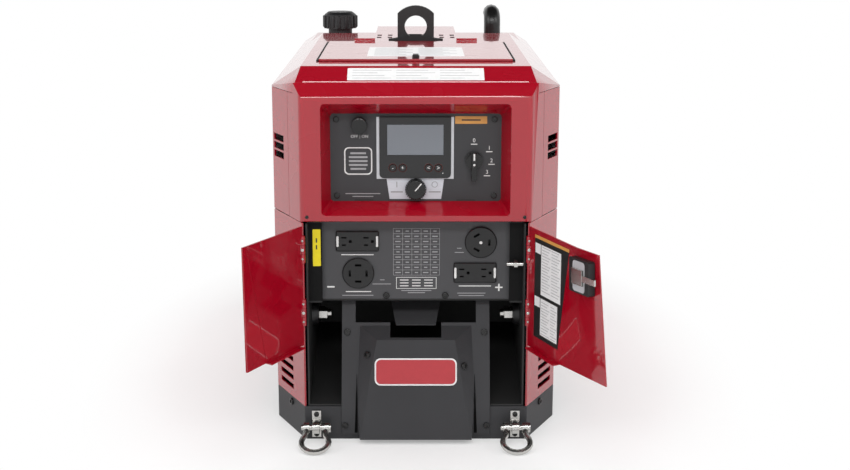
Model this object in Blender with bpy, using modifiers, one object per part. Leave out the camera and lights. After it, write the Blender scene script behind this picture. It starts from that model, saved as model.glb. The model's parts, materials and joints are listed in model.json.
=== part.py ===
"""Engine driven welder: the construction, in metres, +Z up, front towards -Y.

The origin is the centre of the base's underside. Depths written as "from the front"
are measured back from the base's front face.
"""
import math

import bmesh
import bpy
from mathutils import Matrix, Vector

# Driving dimensions of the enclosure
LENGTH = 0.850
WIDTH = 0.500
FRONT_WIDTH = 0.386
CHAMFER_DEPTH = 0.110
BASE_HEIGHT = 0.060
SEAM_HEIGHT = 0.388
WALL_TOP = 0.605
ROOF_HEIGHT = 0.645
ROOF_WIDTH = 0.393
SHEET = 0.003
FIT = 0.0003
SEAM = 0.0008
TUCK = 0.0005

# Bezel, control panel and output panel
BEZEL_DEPTH = 0.050
BEZEL_TOP = 0.623
BEZEL_SLOPE_DEPTH = 0.025
BEZEL_SLOPE_DROP = 0.020
RECESS_WIDTH = 0.319
RECESS_BOTTOM = 0.400
RECESS_TOP = 0.591
PANEL_WIDTH = 0.292
PANEL_BOTTOM = 0.415
PANEL_TOP = 0.567
OUTPUT_DEPTH = 0.034
OUTPUT_BOTTOM = 0.244
OUTPUT_WINDOW = 0.324

# Cable bay and console
BAY_WIDTH = 0.374
BAY_DEPTH = 0.250
BAY_FLOOR_RISE = 0.072
BAY_SETBACK = 0.002
COLUMN_DEPTH = 0.012
STUD_DEPTH = 0.095
STUD_HEIGHT = 0.200
GROUND_DEPTH = 0.012
GROUND_HEIGHT = 0.313
CONSOLE_WIDTH = 0.258
CONSOLE_LEAN = 0.056
COVER_WIDTH = 0.210
COVER_FOOT_WIDTH = 0.199
COVER_FACE_WIDTHS = (0.193, 0.135)
COVER_RISE = 0.024
COVER_TOP = 0.199
COVER_FACE_TOP = 0.1776
HAND_HOLD_WIDTH = 0.089
HAND_HOLD_LIP = 0.005
COVER_BOTTOM = 0.009
COVER_KNEE = 0.110

# Doors
DOOR_BOTTOM = 0.174
DOOR_TOP = 0.384
DOOR_AXIS_X = 0.1915
KNUCKLE_RADIUS = 0.0045
HINGE_PIN_RADIUS = 0.0025
HINGE_NOTCH = 0.008
DOOR_SHEET = 0.0025
DOOR_MAIN_TOP = 0.158
DOOR_MAIN_BOTTOM = 0.111
LEFT_LIP = (0.010, 0.052)
RIGHT_FLAP = (0.055, 0.121)
LEFT_OPEN = math.radians(120)
RIGHT_OPEN = math.radians(114)
FLAP_BEND = math.tan(math.radians(7))

# Roof and what stands on it
ROOF_LAP = 0.002
ROOF_CORNER_LEAN = 0.004
ROOF_FRONT_BEVEL = 0.076
ROOF_REAR_BEVEL = 0.050
ROOF_SLOT_XS = (0.011, 0.053, 0.075)
ROOF_SLOT_DEPTHS = (0.544, 0.589)
ROOF_SLOT = (0.009, 0.025)
LID_WIDTH = 0.340
LID_FRONT = 0.141
LID_LENGTH = 0.302
LID_SHEET = 0.004
LID_MARGIN = 0.012
EYE_DEPTH = 0.470
EYE_WIDTH = 0.072
EYE_RISE = 0.072
EYE_CROWN_RADIUS = 0.0493
EYE_HOLE = 0.022
EYE_RIM = 0.0195
EYE_PLATE = 0.012
BOOT_LENGTH = 0.108
BOOT_DEPTH = 0.034
BOOT_RISE = 0.014
REAR_DROP = 0.016
REAR_DROP_START = 0.645
REAR_SPINE = 0.168
CAP_X = -0.167
CAP_DEPTH = 0.786
CAP_RADIUS = 0.0365
CAP_TOP = 0.679
NECK_RADIUS = 0.026
TANK_HEIGHTS = (0.460, 0.595)
TANK_DEPTHS = (0.640, 0.835)
TANK_RIGHT = 0.090
PIPE_X = 0.170
PIPE_DEPTH = 0.800
PIPE_RADIUS = 0.018
PIPE_TOP = 0.690

# Engine and alternator
SHAFT_HEIGHT = 0.200
SHAFT_RADIUS = 0.015
ROTOR_RADIUS = 0.080
STATOR_RADIUS = 0.110
AIR_GAP = 0.002
ENGINE_FRONT = 0.560
ENGINE_LENGTH = 0.200
ENGINE_WIDTH = 0.220
ENGINE_TOP = 0.330

# Battery on the left, inverter module on the right
ELECTRICS_INNER = 0.125
ELECTRICS_REAR = 0.430
BATTERY_TOP = 0.180
INVERTER_TOP = 0.250

# Shackles
PAD_X = 0.1725
PAD_WIDTH = 0.016
PAD_SHEET = 0.005
PAD_HEIGHTS = (0.005, 0.054)
LUG_RADIUS = 0.011
LUG_WIDTH = 0.012
PIN_DEPTH = -0.017
PIN_HEIGHT = 0.028
SHACKLE_PIN_RADIUS = 0.005
PIN_HEAD_RADIUS = 0.0085
EAR_RADIUS = 0.0095
BOW_WIRE = 0.005
BOW_HALF = 0.0235
EAR_HALF = 0.0165
BOW_REACH = 0.060

FRONT = -LENGTH / 2
REAR = LENGTH / 2
HALF = WIDTH / 2
FRONT_HALF = FRONT_WIDTH / 2
ROOF_HALF = ROOF_WIDTH / 2
BAY_HALF = BAY_WIDTH / 2
CHAMFER_RUN = Vector((HALF - FRONT_HALF, CHAMFER_DEPTH))
BEZEL_WRAP = BEZEL_DEPTH / CHAMFER_DEPTH * 0.95
DOOR_AXIS_Y = FRONT - KNUCKLE_RADIUS - FIT

for old in list(bpy.data.objects):
    bpy.data.objects.remove(old, do_unlink=True)

parts = bpy.data.collections.new("engine_driven_welder")
bpy.context.scene.collection.children.link(parts)


def finish(name, colour, roughness, metallic=0.0):
    """A plain Principled material."""
    made = bpy.data.materials.new(name)
    made.use_nodes = True
    shader = made.node_tree.nodes["Principled BSDF"]
    shader.inputs["Base Color"].default_value = (*colour, 1.0)
    shader.inputs["Roughness"].default_value = roughness
    shader.inputs["Metallic"].default_value = metallic
    return made


RED_PAINT = finish("red_paint", (0.40, 0.005, 0.016), 0.3)
CHARCOAL_PAINT = finish("charcoal_paint", (0.062, 0.062, 0.068), 0.55)
BLACK_PLASTIC = finish("black_plastic", (0.012, 0.012, 0.013), 0.45)
BLACK_RUBBER = finish("black_rubber", (0.012, 0.012, 0.012), 0.8)
GREY_PANEL = finish("grey_panel", (0.075, 0.075, 0.082), 0.5)
STAINLESS = finish("stainless", (0.60, 0.60, 0.60), 0.28, 1.0)
SCREEN_GLASS = finish("screen_glass", (0.19, 0.21, 0.24), 0.12)
CAST_ALLOY = finish("cast_alloy", (0.42, 0.42, 0.43), 0.5, 1.0)
LAMINATION = finish("dark_lamination", (0.10, 0.07, 0.05), 0.6, 0.5)


def adopt(obj, name, material):
    """Name an object, give it its finish and put it among the parts."""
    obj.name = name
    obj.data.name = name
    obj.data.materials.clear()
    obj.data.materials.append(material)
    for home in list(obj.users_collection):
        home.objects.unlink(obj)
    parts.objects.link(obj)
    return obj


def settle(obj):
    """Move an object's place and turn into its mesh."""
    bpy.context.view_layer.update()
    obj.data.transform(obj.matrix_world)
    obj.matrix_world = Matrix.Identity(4)
    return obj


def bake(obj):
    """Replace an object's mesh with what its modifiers make of it."""
    bpy.context.view_layer.update()
    seen = obj.evaluated_get(bpy.context.evaluated_depsgraph_get())
    mesh = bpy.data.meshes.new_from_object(seen)
    obj.modifiers.clear()
    obj.data = mesh
    return obj


def box(low, high):
    """A box from its lowest to its highest corner."""
    low = Vector(low)
    high = Vector(high)
    bpy.ops.mesh.primitive_cube_add(size=1, location=(low + high) / 2)
    made = bpy.context.object
    made.scale = high - low
    return settle(made)


def rod(radius, start, end, sides=20, end_radius=None):
    """A cylinder or a cone between two points."""
    start = Vector(start)
    end = Vector(end)
    along = end - start
    bpy.ops.mesh.primitive_cone_add(
        vertices=sides, radius1=radius, depth=along.length, location=(start + end) / 2,
        radius2=radius if end_radius is None else end_radius)
    made = bpy.context.object
    made.rotation_euler = along.to_track_quat("Z", "Y").to_euler()
    return settle(made)


def plate(outline, start, end, axis="Z"):
    """A flat outline, thickened from start to end along an axis.

    The outline's two numbers are X, Y for axis Z; X, Z for axis Y; and Y, Z for axis X.
    """
    curve = bpy.data.curves.new("outline", "CURVE")
    curve.dimensions = "2D"
    curve.fill_mode = "BOTH"
    curve.extrude = (end - start) / 2
    spline = curve.splines.new("POLY")
    spline.points.add(len(outline) - 1)
    for point, place in zip(spline.points, outline):
        point.co = (place[0], place[1], 0, 1)
    spline.use_cyclic_u = True
    drawn = bpy.data.objects.new("outline", curve)
    bpy.context.scene.collection.objects.link(drawn)
    middle = (start + end) / 2
    if axis == "Z":
        turn = Matrix.Translation((0, 0, middle))
    elif axis == "Y":
        turn = Matrix.Translation((0, middle, 0)) @ Matrix.Rotation(math.pi / 2, 4, "X")
    else:
        turn = Matrix(((0, 0, 1, middle), (1, 0, 0, 0), (0, 1, 0, 0), (0, 0, 0, 1)))
    bpy.context.view_layer.update()
    mesh = bpy.data.meshes.new_from_object(
        drawn.evaluated_get(bpy.context.evaluated_depsgraph_get()))
    bpy.data.objects.remove(drawn, do_unlink=True)
    mesh.transform(turn)
    shape = bmesh.new()
    shape.from_mesh(mesh)
    bmesh.ops.remove_doubles(shape, verts=shape.verts, dist=1e-6)
    bmesh.ops.recalc_face_normals(shape, faces=shape.faces)
    shape.to_mesh(mesh)
    shape.free()
    made = bpy.data.objects.new("plate", mesh)
    bpy.context.scene.collection.objects.link(made)
    return made


def hull(points):
    """The solid that a skin pulled tight over some points would hold."""
    shape = bmesh.new()
    for place in points:
        shape.verts.new(place)
    bmesh.ops.convex_hull(shape, input=shape.verts)
    bmesh.ops.recalc_face_normals(shape, faces=shape.faces)
    mesh = bpy.data.meshes.new("hull")
    shape.to_mesh(mesh)
    shape.free()
    made = bpy.data.objects.new("hull", mesh)
    bpy.context.scene.collection.objects.link(made)
    return made


def turned(profile, steps):
    """A profile of radius and height pairs, top to bottom, turned about the Z axis."""
    mesh = bpy.data.meshes.new("profile")
    points = [(radius, 0, height) for radius, height in profile]
    mesh.from_pydata(points, [(i, i + 1) for i in range(len(points) - 1)], [])
    made = bpy.data.objects.new("turned", mesh)
    bpy.context.scene.collection.objects.link(made)
    screw = made.modifiers.new("Screw", "SCREW")
    screw.steps = steps
    screw.render_steps = steps
    screw.use_merge_vertices = True
    screw.merge_threshold = 1e-5
    screw.use_smooth_shade = True
    bake(made)
    shape = bmesh.new()
    shape.from_mesh(made.data)
    bmesh.ops.remove_doubles(shape, verts=shape.verts, dist=1e-6)
    bmesh.ops.recalc_face_normals(shape, faces=shape.faces)
    shape.to_mesh(made.data)
    shape.free()
    return made


def combine(obj, others, operation):
    """Boolean each of some helper solids with an object, and remove the helpers."""
    for other in others:
        step = obj.modifiers.new("Boolean", "BOOLEAN")
        step.operation = operation
        step.object = other
        bake(obj)
        bpy.data.objects.remove(other, do_unlink=True)
    return obj


def cut(obj, *others):
    return combine(obj, others, "DIFFERENCE")


def join(obj, *others):
    return combine(obj, others, "UNION")


def soften(obj, width, segments=2):
    """Round an object's sharp edges."""
    bevel = obj.modifiers.new("Bevel", "BEVEL")
    bevel.width = width
    bevel.segments = segments
    bevel.limit_method = "ANGLE"
    bevel.angle_limit = math.radians(40)
    return bake(obj)


def back(depth):
    """The Y of a place that lies some depth behind the base's front face."""
    return FRONT + depth


def chamfer_point(share, inset=0.0):
    """A place on the front right chamfer, from its front (0) to its back (1)."""
    inward = Vector((-CHAMFER_RUN.y, CHAMFER_RUN.x)).normalized() * inset
    return Vector((FRONT_HALF, FRONT)) + CHAMFER_RUN * share + inward


def plan_outline(inset):
    """The enclosure's plan, drawn in from its outer faces by an inset."""
    run = CHAMFER_RUN
    corner = FRONT_HALF - inset * (run.length - run.x) / run.y
    side = CHAMFER_DEPTH + inset * (run.length - run.y) / run.x
    right = [(corner, FRONT + inset), (HALF - inset, FRONT + side), (HALF - inset, REAR - inset)]
    left = [(-x, y) for x, y in reversed(right)]
    return right + left


def mirrored(outline):
    return [(-x, y) for x, y in reversed(outline)]


def handed(outline, side):
    """An outline of the right side, or its mirror image for the left."""
    return outline if side > 0 else mirrored(outline)


def make_base():
    tray = plate(plan_outline(0), 0, BASE_HEIGHT)
    cut(tray, plate(plan_outline(SHEET), SHEET, BASE_HEIGHT + SHEET))
    adopt(tray, "base_tray", CHARCOAL_PAINT)


# The sheet of the console leans back above the base
LEAN_START = BASE_HEIGHT + SHEET + FIT
LEAN_END = OUTPUT_BOTTOM - SHEET - FIT


def console_depth(height):
    """Depth of the console bracket's front face at a height."""
    start = -SHEET - FIT
    climb = max(0.0, height - LEAN_START) / (LEAN_END - LEAN_START)
    return start + CONSOLE_LEAN * climb


def make_console():
    low = COVER_BOTTOM
    front = [(back(console_depth(z)), z) for z in (low, LEAN_START, LEAN_END)]
    rear = [(y + SHEET, z) for y, z in reversed(front)]
    bracket = plate(front + rear, -CONSOLE_WIDTH / 2, CONSOLE_WIDTH / 2, "X")
    window = COVER_WIDTH / 2
    cut(bracket, box((-window, FRONT - SHEET, COVER_TOP + TUCK),
                     (window, back(BAY_DEPTH), LEAN_END + SHEET)))
    hand_hold = HAND_HOLD_WIDTH / 2
    hold_low = COVER_FACE_TOP - HAND_HOLD_LIP * 2
    cut(bracket, box((-hand_hold, FRONT - SHEET, hold_low), (hand_hold, back(BAY_DEPTH), LEAN_END)))
    adopt(bracket, "console_bracket", CHARCOAL_PAINT)

    def cover_solid(inset):
        half = COVER_WIDTH / 2 - inset
        foot = COVER_FOOT_WIDTH / 2 - inset
        face_low, face_high = (width / 2 - inset for width in COVER_FACE_WIDTHS)
        seat = SHEET * 2
        points = []
        for side in (-1, 1):
            points += [
                (side * foot, back(console_depth(low) + seat), low + inset),
                (side * half, back(console_depth(COVER_KNEE) + seat), COVER_KNEE),
                (side * half, back(console_depth(COVER_TOP) + seat), COVER_TOP - inset),
                (side * face_low, back(console_depth(low) - COVER_RISE + inset), low + inset),
                (side * face_high, back(console_depth(COVER_FACE_TOP) - COVER_RISE + inset),
                 COVER_FACE_TOP - inset)]
        return hull(points)

    cover = cover_solid(0)
    cut(cover, cover_solid(SHEET))
    lip = console_depth(COVER_FACE_TOP) - COVER_RISE + HAND_HOLD_LIP
    rear = console_depth(COVER_TOP) + SHEET * 2
    cut(cover, box((-hand_hold, back(lip), hold_low), (hand_hold, back(rear), COVER_TOP + SHEET)))
    behind = [(back(console_depth(z) - FIT), z) for z in (-SHEET, LEAN_START, LEAN_END)]
    behind += [(back(BAY_DEPTH), LEAN_END), (back(BAY_DEPTH), -SHEET)]
    cut(cover, plate(behind, -HALF, HALF, "X"))
    adopt(cover, "console_cover", CHARCOAL_PAINT)


def make_cable_bay():
    near = back(BAY_SETBACK)
    far = back(BAY_DEPTH)
    panel = back(OUTPUT_DEPTH)
    low = BASE_HEIGHT + FIT
    top = SEAM_HEIGHT - BAY_SETBACK
    slope = BAY_FLOOR_RISE / (far - near)
    outer = [(near, low), (far, low + BAY_FLOOR_RISE), (far, OUTPUT_BOTTOM),
             (panel, OUTPUT_BOTTOM), (panel, top), (near, top)]
    bay = plate(outer, -BAY_HALF, BAY_HALF, "X")
    ahead = 0.010
    behind = 0.001
    floor = low + SHEET
    roof = OUTPUT_BOTTOM - SHEET
    inner = [(near - ahead, floor - slope * ahead),
             (far - SHEET, floor + slope * (far - SHEET - near)),
             (far - SHEET, roof), (near - ahead, roof)]
    inside = BAY_HALF - SHEET
    column = back(OUTPUT_DEPTH - COLUMN_DEPTH)
    window = OUTPUT_WINDOW / 2
    cut(bay, plate(inner, -inside, inside, "X"),
        box((-inside, near - ahead, roof - ahead), (inside, column, top + ahead)),
        box((-window, near - ahead, roof - ahead), (window, panel + behind, top + ahead)))
    adopt(bay, "cable_bay", BLACK_PLASTIC)


def chamfer_slot(side, near, far, low, high):
    """A cutter for a level slot through the chamfered part of a side panel."""
    reach = 0.008
    outline = [chamfer_point(near, -reach), chamfer_point(far, -reach),
               chamfer_point(far, reach), chamfer_point(near, reach)]
    return plate(handed([tuple(p) for p in outline], side), low, high)


# Heights of the two hinges of each door, and the length of one of their knuckles
HINGE_HEIGHTS = (0.232, 0.343)
KNUCKLE = 0.015
KNUCKLE_EMBED = 0.001


def side_wall(side, start_share, low, high):
    """A side panel: a chamfered strip and the long side behind it."""
    inner = plan_outline(SHEET)[1]
    outline = [tuple(chamfer_point(start_share)), (HALF, back(CHAMFER_DEPTH)), (HALF, REAR),
               (HALF - SHEET, REAR), inner, tuple(chamfer_point(start_share, SHEET))]
    return plate(handed(outline, side), low, high)


def make_side_panels():
    for side, hand in ((-1, "left"), (1, "right")):
        lower = side_wall(side, 0, BASE_HEIGHT + FIT, SEAM_HEIGHT)
        slot_pitch = 0.017
        slot_height = 0.009
        lowest = 0.075
        for row in range(6):
            low = lowest + row * slot_pitch
            cut(lower, chamfer_slot(side, 0.40, 0.86, low, low + slot_height))
        x = side * DOOR_AXIS_X
        for height in HINGE_HEIGHTS:
            low = height - KNUCKLE / 2
            high = height + KNUCKLE / 2
            edge = sorted((side * (DOOR_AXIS_X - KNUCKLE_EMBED), side * FRONT_HALF))
            join(lower, rod(KNUCKLE_RADIUS, (x, DOOR_AXIS_Y, low), (x, DOOR_AXIS_Y, high), 16),
                 box((edge[0], DOOR_AXIS_Y, low), (edge[1], FRONT + SHEET / 2, high)))
            bore = HINGE_PIN_RADIUS + FIT
            cut(lower, rod(bore, (x, DOOR_AXIS_Y, low - FIT), (x, DOOR_AXIS_Y, high + FIT), 16))
        adopt(lower, "lower_side_" + hand, RED_PAINT)

        upper = side_wall(side, BEZEL_WRAP + SEAM / CHAMFER_RUN.length, SEAM_HEIGHT + SEAM, WALL_TOP)
        slot_pitch = 0.0148
        slot_height = 0.0115
        lowest = 0.4845
        for row in range(3):
            low = lowest + row * slot_pitch
            cut(upper, chamfer_slot(side, 0.60, 0.95, low, low + slot_height))
        adopt(upper, "upper_side_" + hand, RED_PAINT)


def funnel(grow, front, rear):
    """The sloping sides of the bezel's recess, grown outwards by some thickness."""
    points = []
    for side in (-1, 1):
        points += [(side * (RECESS_WIDTH / 2 + grow), front, RECESS_BOTTOM - grow),
                   (side * (RECESS_WIDTH / 2 + grow), front, RECESS_TOP + grow),
                   (side * (PANEL_WIDTH / 2 + grow), rear, PANEL_BOTTOM - grow),
                   (side * (PANEL_WIDTH / 2 + grow), rear, PANEL_TOP + grow)]
    return hull(points)


def make_bezel():
    low = SEAM_HEIGHT + SEAM
    wrap = tuple(chamfer_point(BEZEL_WRAP))
    outer = [(FRONT_HALF, FRONT), wrap, (-wrap[0], wrap[1]), (-FRONT_HALF, FRONT)]
    bezel = plate(outer, low, BEZEL_TOP)
    inner_wrap = tuple(chamfer_point(BEZEL_WRAP + 0.1, SHEET))
    corner = plan_outline(SHEET)[0]
    inner = [corner, inner_wrap, (-inner_wrap[0], inner_wrap[1]), (-corner[0], corner[1])]
    slope_top = BEZEL_TOP - BEZEL_SLOPE_DROP
    cut(bezel, plate(inner, low + SHEET, slope_top - SHEET))
    ridge = back(BEZEL_SLOPE_DEPTH)
    run_out = 0.010
    rise = (BEZEL_TOP - slope_top) / BEZEL_SLOPE_DEPTH
    slope = [(FRONT - run_out, slope_top - rise * run_out), (ridge, BEZEL_TOP),
             (ridge, BEZEL_TOP + run_out), (FRONT - run_out, BEZEL_TOP + run_out)]
    cut(bezel, plate(slope, -HALF, HALF, "X"))
    cut(bezel, box((-HALF, ridge + SHEET / 2, WALL_TOP), (HALF, back(CHAMFER_DEPTH), ROOF_HEIGHT)))
    lip = back(BEZEL_DEPTH) - FIT
    join(bezel, funnel(SHEET, FRONT + FIT, lip))
    cut(bezel, funnel(0, FRONT - FIT, lip + FIT))
    adopt(bezel, "front_bezel", RED_PAINT)


def roof_solid(inset, low):
    """The hipped solid under the roof's outer faces, drawn in by an inset."""
    near = BEZEL_SLOPE_DEPTH + ROOF_LAP + inset
    half_near = FRONT_HALF + (HALF - FRONT_HALF) * near / CHAMFER_DEPTH - inset
    points = []
    for side in (-1, 1):
        points += [
            (side * half_near, back(near), low),
            (side * (half_near - ROOF_CORNER_LEAN), back(near), BEZEL_TOP - inset),
            (side * (HALF - inset), back(CHAMFER_DEPTH), low),
            (side * (HALF - inset), REAR - inset, low),
            (side * (HALF - inset), back(CHAMFER_DEPTH), WALL_TOP + SHEET - inset),
            (side * (HALF - inset), REAR - inset, WALL_TOP + SHEET - inset),
            (side * (ROOF_HALF - inset / 2), back(ROOF_FRONT_BEVEL + inset), ROOF_HEIGHT - inset),
            (side * (ROOF_HALF - inset / 2), REAR - ROOF_REAR_BEVEL - inset, ROOF_HEIGHT - inset)]
    solid = hull(points)
    for side in (-1, 1):
        edges = sorted((side * (REAR_SPINE / 2 - inset), side * (HALF + SHEET)))
        deck = ROOF_HEIGHT - REAR_DROP - inset
        cut(solid, box((edges[0], back(REAR_DROP_START) - inset, deck),
                       (edges[1], REAR + SHEET, ROOF_HEIGHT + SHEET)))
    return solid


LID_REAR = LID_FRONT + LID_LENGTH
LID_AXIS_SETBACK = 0.005
LID_AXIS_Y = back(LID_REAR + LID_AXIS_SETBACK)
LID_AXIS_Z = ROOF_HEIGHT + KNUCKLE_RADIUS + FIT
LID_WEB = 0.002
LID_BODY_KNUCKLES = (0.080, 0.100)
LID_OWN_KNUCKLES = (0.1005, 0.1205)


def lid_knuckle(span, side):
    ends = sorted((side * span[0], side * span[1]))
    return rod(KNUCKLE_RADIUS, (ends[0], LID_AXIS_Y, LID_AXIS_Z),
               (ends[1], LID_AXIS_Y, LID_AXIS_Z), 16)


def lid_pin_bore():
    reach = LID_OWN_KNUCKLES[1] + SHEET
    return rod(HINGE_PIN_RADIUS + FIT, (-reach, LID_AXIS_Y, LID_AXIS_Z),
               (reach, LID_AXIS_Y, LID_AXIS_Z), 16)


def make_roof():
    roof = roof_solid(0, WALL_TOP + SEAM)
    cut(roof, roof_solid(SHEET, WALL_TOP - SHEET))
    half = LID_WIDTH / 2 - LID_MARGIN
    above = ROOF_HEIGHT + SHEET
    below = ROOF_HEIGHT - REAR_DROP - SHEET * 3
    cut(roof, box((-half, back(LID_FRONT + LID_MARGIN), below),
                  (half, back(LID_REAR - LID_MARGIN), above)))
    eye = EYE_WIDTH / 2 + SHEET
    eye_deep = EYE_PLATE / 2 + SHEET
    cut(roof, box((-eye, back(EYE_DEPTH) - eye_deep, below), (eye, back(EYE_DEPTH) + eye_deep, above)))
    for x, depth, radius in ((CAP_X, CAP_DEPTH, NECK_RADIUS), (PIPE_X, PIPE_DEPTH, PIPE_RADIUS)):
        cut(roof, rod(radius + FIT * 2, (x, back(depth), below), (x, back(depth), above), 24))
    slot_half = ROOF_SLOT[0] / 2
    for x in ROOF_SLOT_XS:
        for side in (-1, 1):
            for depth in ROOF_SLOT_DEPTHS:
                y = back(depth)
                cut(roof, box((side * x - slot_half, y, below),
                              (side * x + slot_half, y + ROOF_SLOT[1], above)))
    for side in (-1, 1):
        ends = sorted((side * LID_BODY_KNUCKLES[0], side * LID_BODY_KNUCKLES[1]))
        join(roof, lid_knuckle(LID_BODY_KNUCKLES, side),
             box((ends[0] + TUCK, LID_AXIS_Y - LID_WEB, ROOF_HEIGHT - SHEET / 2),
                 (ends[1] - TUCK, LID_AXIS_Y + LID_WEB, LID_AXIS_Z)),
             rod(HINGE_PIN_RADIUS, (side * (LID_BODY_KNUCKLES[0] + SHEET), LID_AXIS_Y, LID_AXIS_Z),
                 (side * LID_OWN_KNUCKLES[1], LID_AXIS_Y, LID_AXIS_Z), 12))
    adopt(roof, "roof_panel", RED_PAINT)


def make_roof_lid():
    half = LID_WIDTH / 2
    under = ROOF_HEIGHT + FIT
    top = under + LID_SHEET
    lid = box((-half, back(LID_FRONT), under), (half, back(LID_REAR), top))
    clear = LID_MARGIN + 0.002
    rim = 0.0025
    drop = 0.010
    flange = box((-half + clear, back(LID_FRONT + clear), under - drop),
                 (half - clear, back(LID_REAR - clear), under + LID_SHEET / 2))
    join(lid, flange)
    cut(lid, box((-half + clear + rim, back(LID_FRONT + clear + rim), under - drop * 2),
                 (half - clear - rim, back(LID_REAR - clear - rim), under)))
    for side in (-1, 1):
        ends = sorted((side * LID_OWN_KNUCKLES[0], side * LID_OWN_KNUCKLES[1]))
        join(lid, lid_knuckle(LID_OWN_KNUCKLES, side),
             box((ends[0] + TUCK, back(LID_REAR) - SHEET, under + TUCK),
                 (ends[1] - TUCK, LID_AXIS_Y, top - TUCK)))
    cut(lid, lid_pin_bore())
    for side in (-1, 1):
        notch = sorted((side * (LID_BODY_KNUCKLES[0] - SHEET), side * LID_BODY_KNUCKLES[1]))
        cut(lid, box((notch[0], back(LID_REAR) - 0.001, under - FIT),
                     (notch[1], LID_AXIS_Y + SHEET, top + SHEET)))
    adopt(lid, "roof_lid", RED_PAINT)

    y = back(LID_FRONT + LID_MARGIN)
    boss = 0.005
    latch = rod(0.0065, (0, y, top + FIT), (0, y, top + boss), 16)
    join(latch, box((-0.005, y - 0.010, top + boss - 0.002), (0.005, y + 0.010, top + boss + 0.002)))
    adopt(latch, "lid_latch", BLACK_PLASTIC)


FRAME_TOP = 0.575


def make_lift():
    leg = 0.036
    wall_gap = 0.010
    low = SHEET + FIT
    y = back(EYE_DEPTH)
    reach = HALF - wall_gap
    frame = box((-reach, y - leg / 2, FRAME_TOP - leg), (reach, y + leg / 2, FRAME_TOP))
    for side in (-1, 1):
        ends = sorted((side * reach, side * (reach - leg)))
        join(frame, box((ends[0], y - leg / 2 + FIT, low), (ends[1], y + leg / 2 - FIT, FRAME_TOP - SHEET)))
    adopt(frame, "lift_frame", CHARCOAL_PAINT)

    half = EYE_WIDTH / 2
    crown = ROOF_HEIGHT + EYE_RISE - EYE_CROWN_RADIUS
    reach = math.asin(half / EYE_CROWN_RADIUS)
    outline = [(-half, FRAME_TOP + FIT), (half, FRAME_TOP + FIT)]
    for step in range(13):
        angle = reach * (1 - step / 6)
        outline.append((EYE_CROWN_RADIUS * math.sin(angle), crown + EYE_CROWN_RADIUS * math.cos(angle)))
    bail = plate(outline, y - EYE_PLATE / 2, y + EYE_PLATE / 2, "Y")
    centre = ROOF_HEIGHT + EYE_RISE - EYE_HOLE - EYE_RIM
    cut(bail, rod(EYE_HOLE, (0, y - EYE_PLATE, centre), (0, y + EYE_PLATE, centre), 28))
    adopt(bail, "lift_bail", CHARCOAL_PAINT)

    steps = 32
    oval = []
    for step in range(steps):
        angle = math.tau * step / steps
        oval.append((BOOT_LENGTH / 2 * math.cos(angle), y + BOOT_DEPTH / 2 * math.sin(angle)))
    boot = plate(oval, ROOF_HEIGHT + FIT, ROOF_HEIGHT + BOOT_RISE)
    soften(boot, BOOT_RISE / 3)
    cut(boot, box((-half - FIT, y - EYE_PLATE / 2 - FIT, ROOF_HEIGHT - SHEET),
                  (half + FIT, y + EYE_PLATE / 2 + FIT, ROOF_HEIGHT + BOOT_RISE * 2)))
    adopt(boot, "bail_boot", BLACK_RUBBER)


def make_rear_panel():
    half = HALF - SHEET - FIT
    panel = box((-half, REAR - SHEET, BASE_HEIGHT + FIT), (half, REAR, WALL_TOP))
    columns = (-0.115, 0.115)
    slot_half = 0.085
    slot_height = 0.014
    slot_pitch = 0.032
    lowest = 0.130
    for x in columns:
        for row in range(9):
            low = lowest + row * slot_pitch
            cut(panel, box((x - slot_half, REAR - SHEET * 2, low),
                           (x + slot_half, REAR + SHEET, low + slot_height)))
    adopt(panel, "rear_panel", RED_PAINT)


FACE = back(BEZEL_DEPTH)
CHOKE = (-0.096, 0.548)
SELECT = (0.0, 0.437)
SWITCH = (0.0996, 0.4866)
BUTTON_XS = (-0.0393, -0.0224, 0.022, 0.0386)
BUTTON_Z = 0.474
BUTTON_RADIUS = 0.0062
BUTTON_TRAVEL = 0.0008
DISPLAY = ((-0.062, 0.4557), (0.060, 0.5616))
SCREEN = ((-0.049, 0.496), (0.0476, 0.549))
DISPLAY_THICKNESS = 0.005
DISPLAY_CORNER = 0.0075
KNOB_SHAFT = 0.0045


def front_disc(radius, place, start, end, sides=24, end_radius=None):
    """A cylinder facing the front, between two Y values, start nearer the back."""
    return rod(radius, (place[0], start, place[1]), (place[0], end, place[1]), sides, end_radius)


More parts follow.
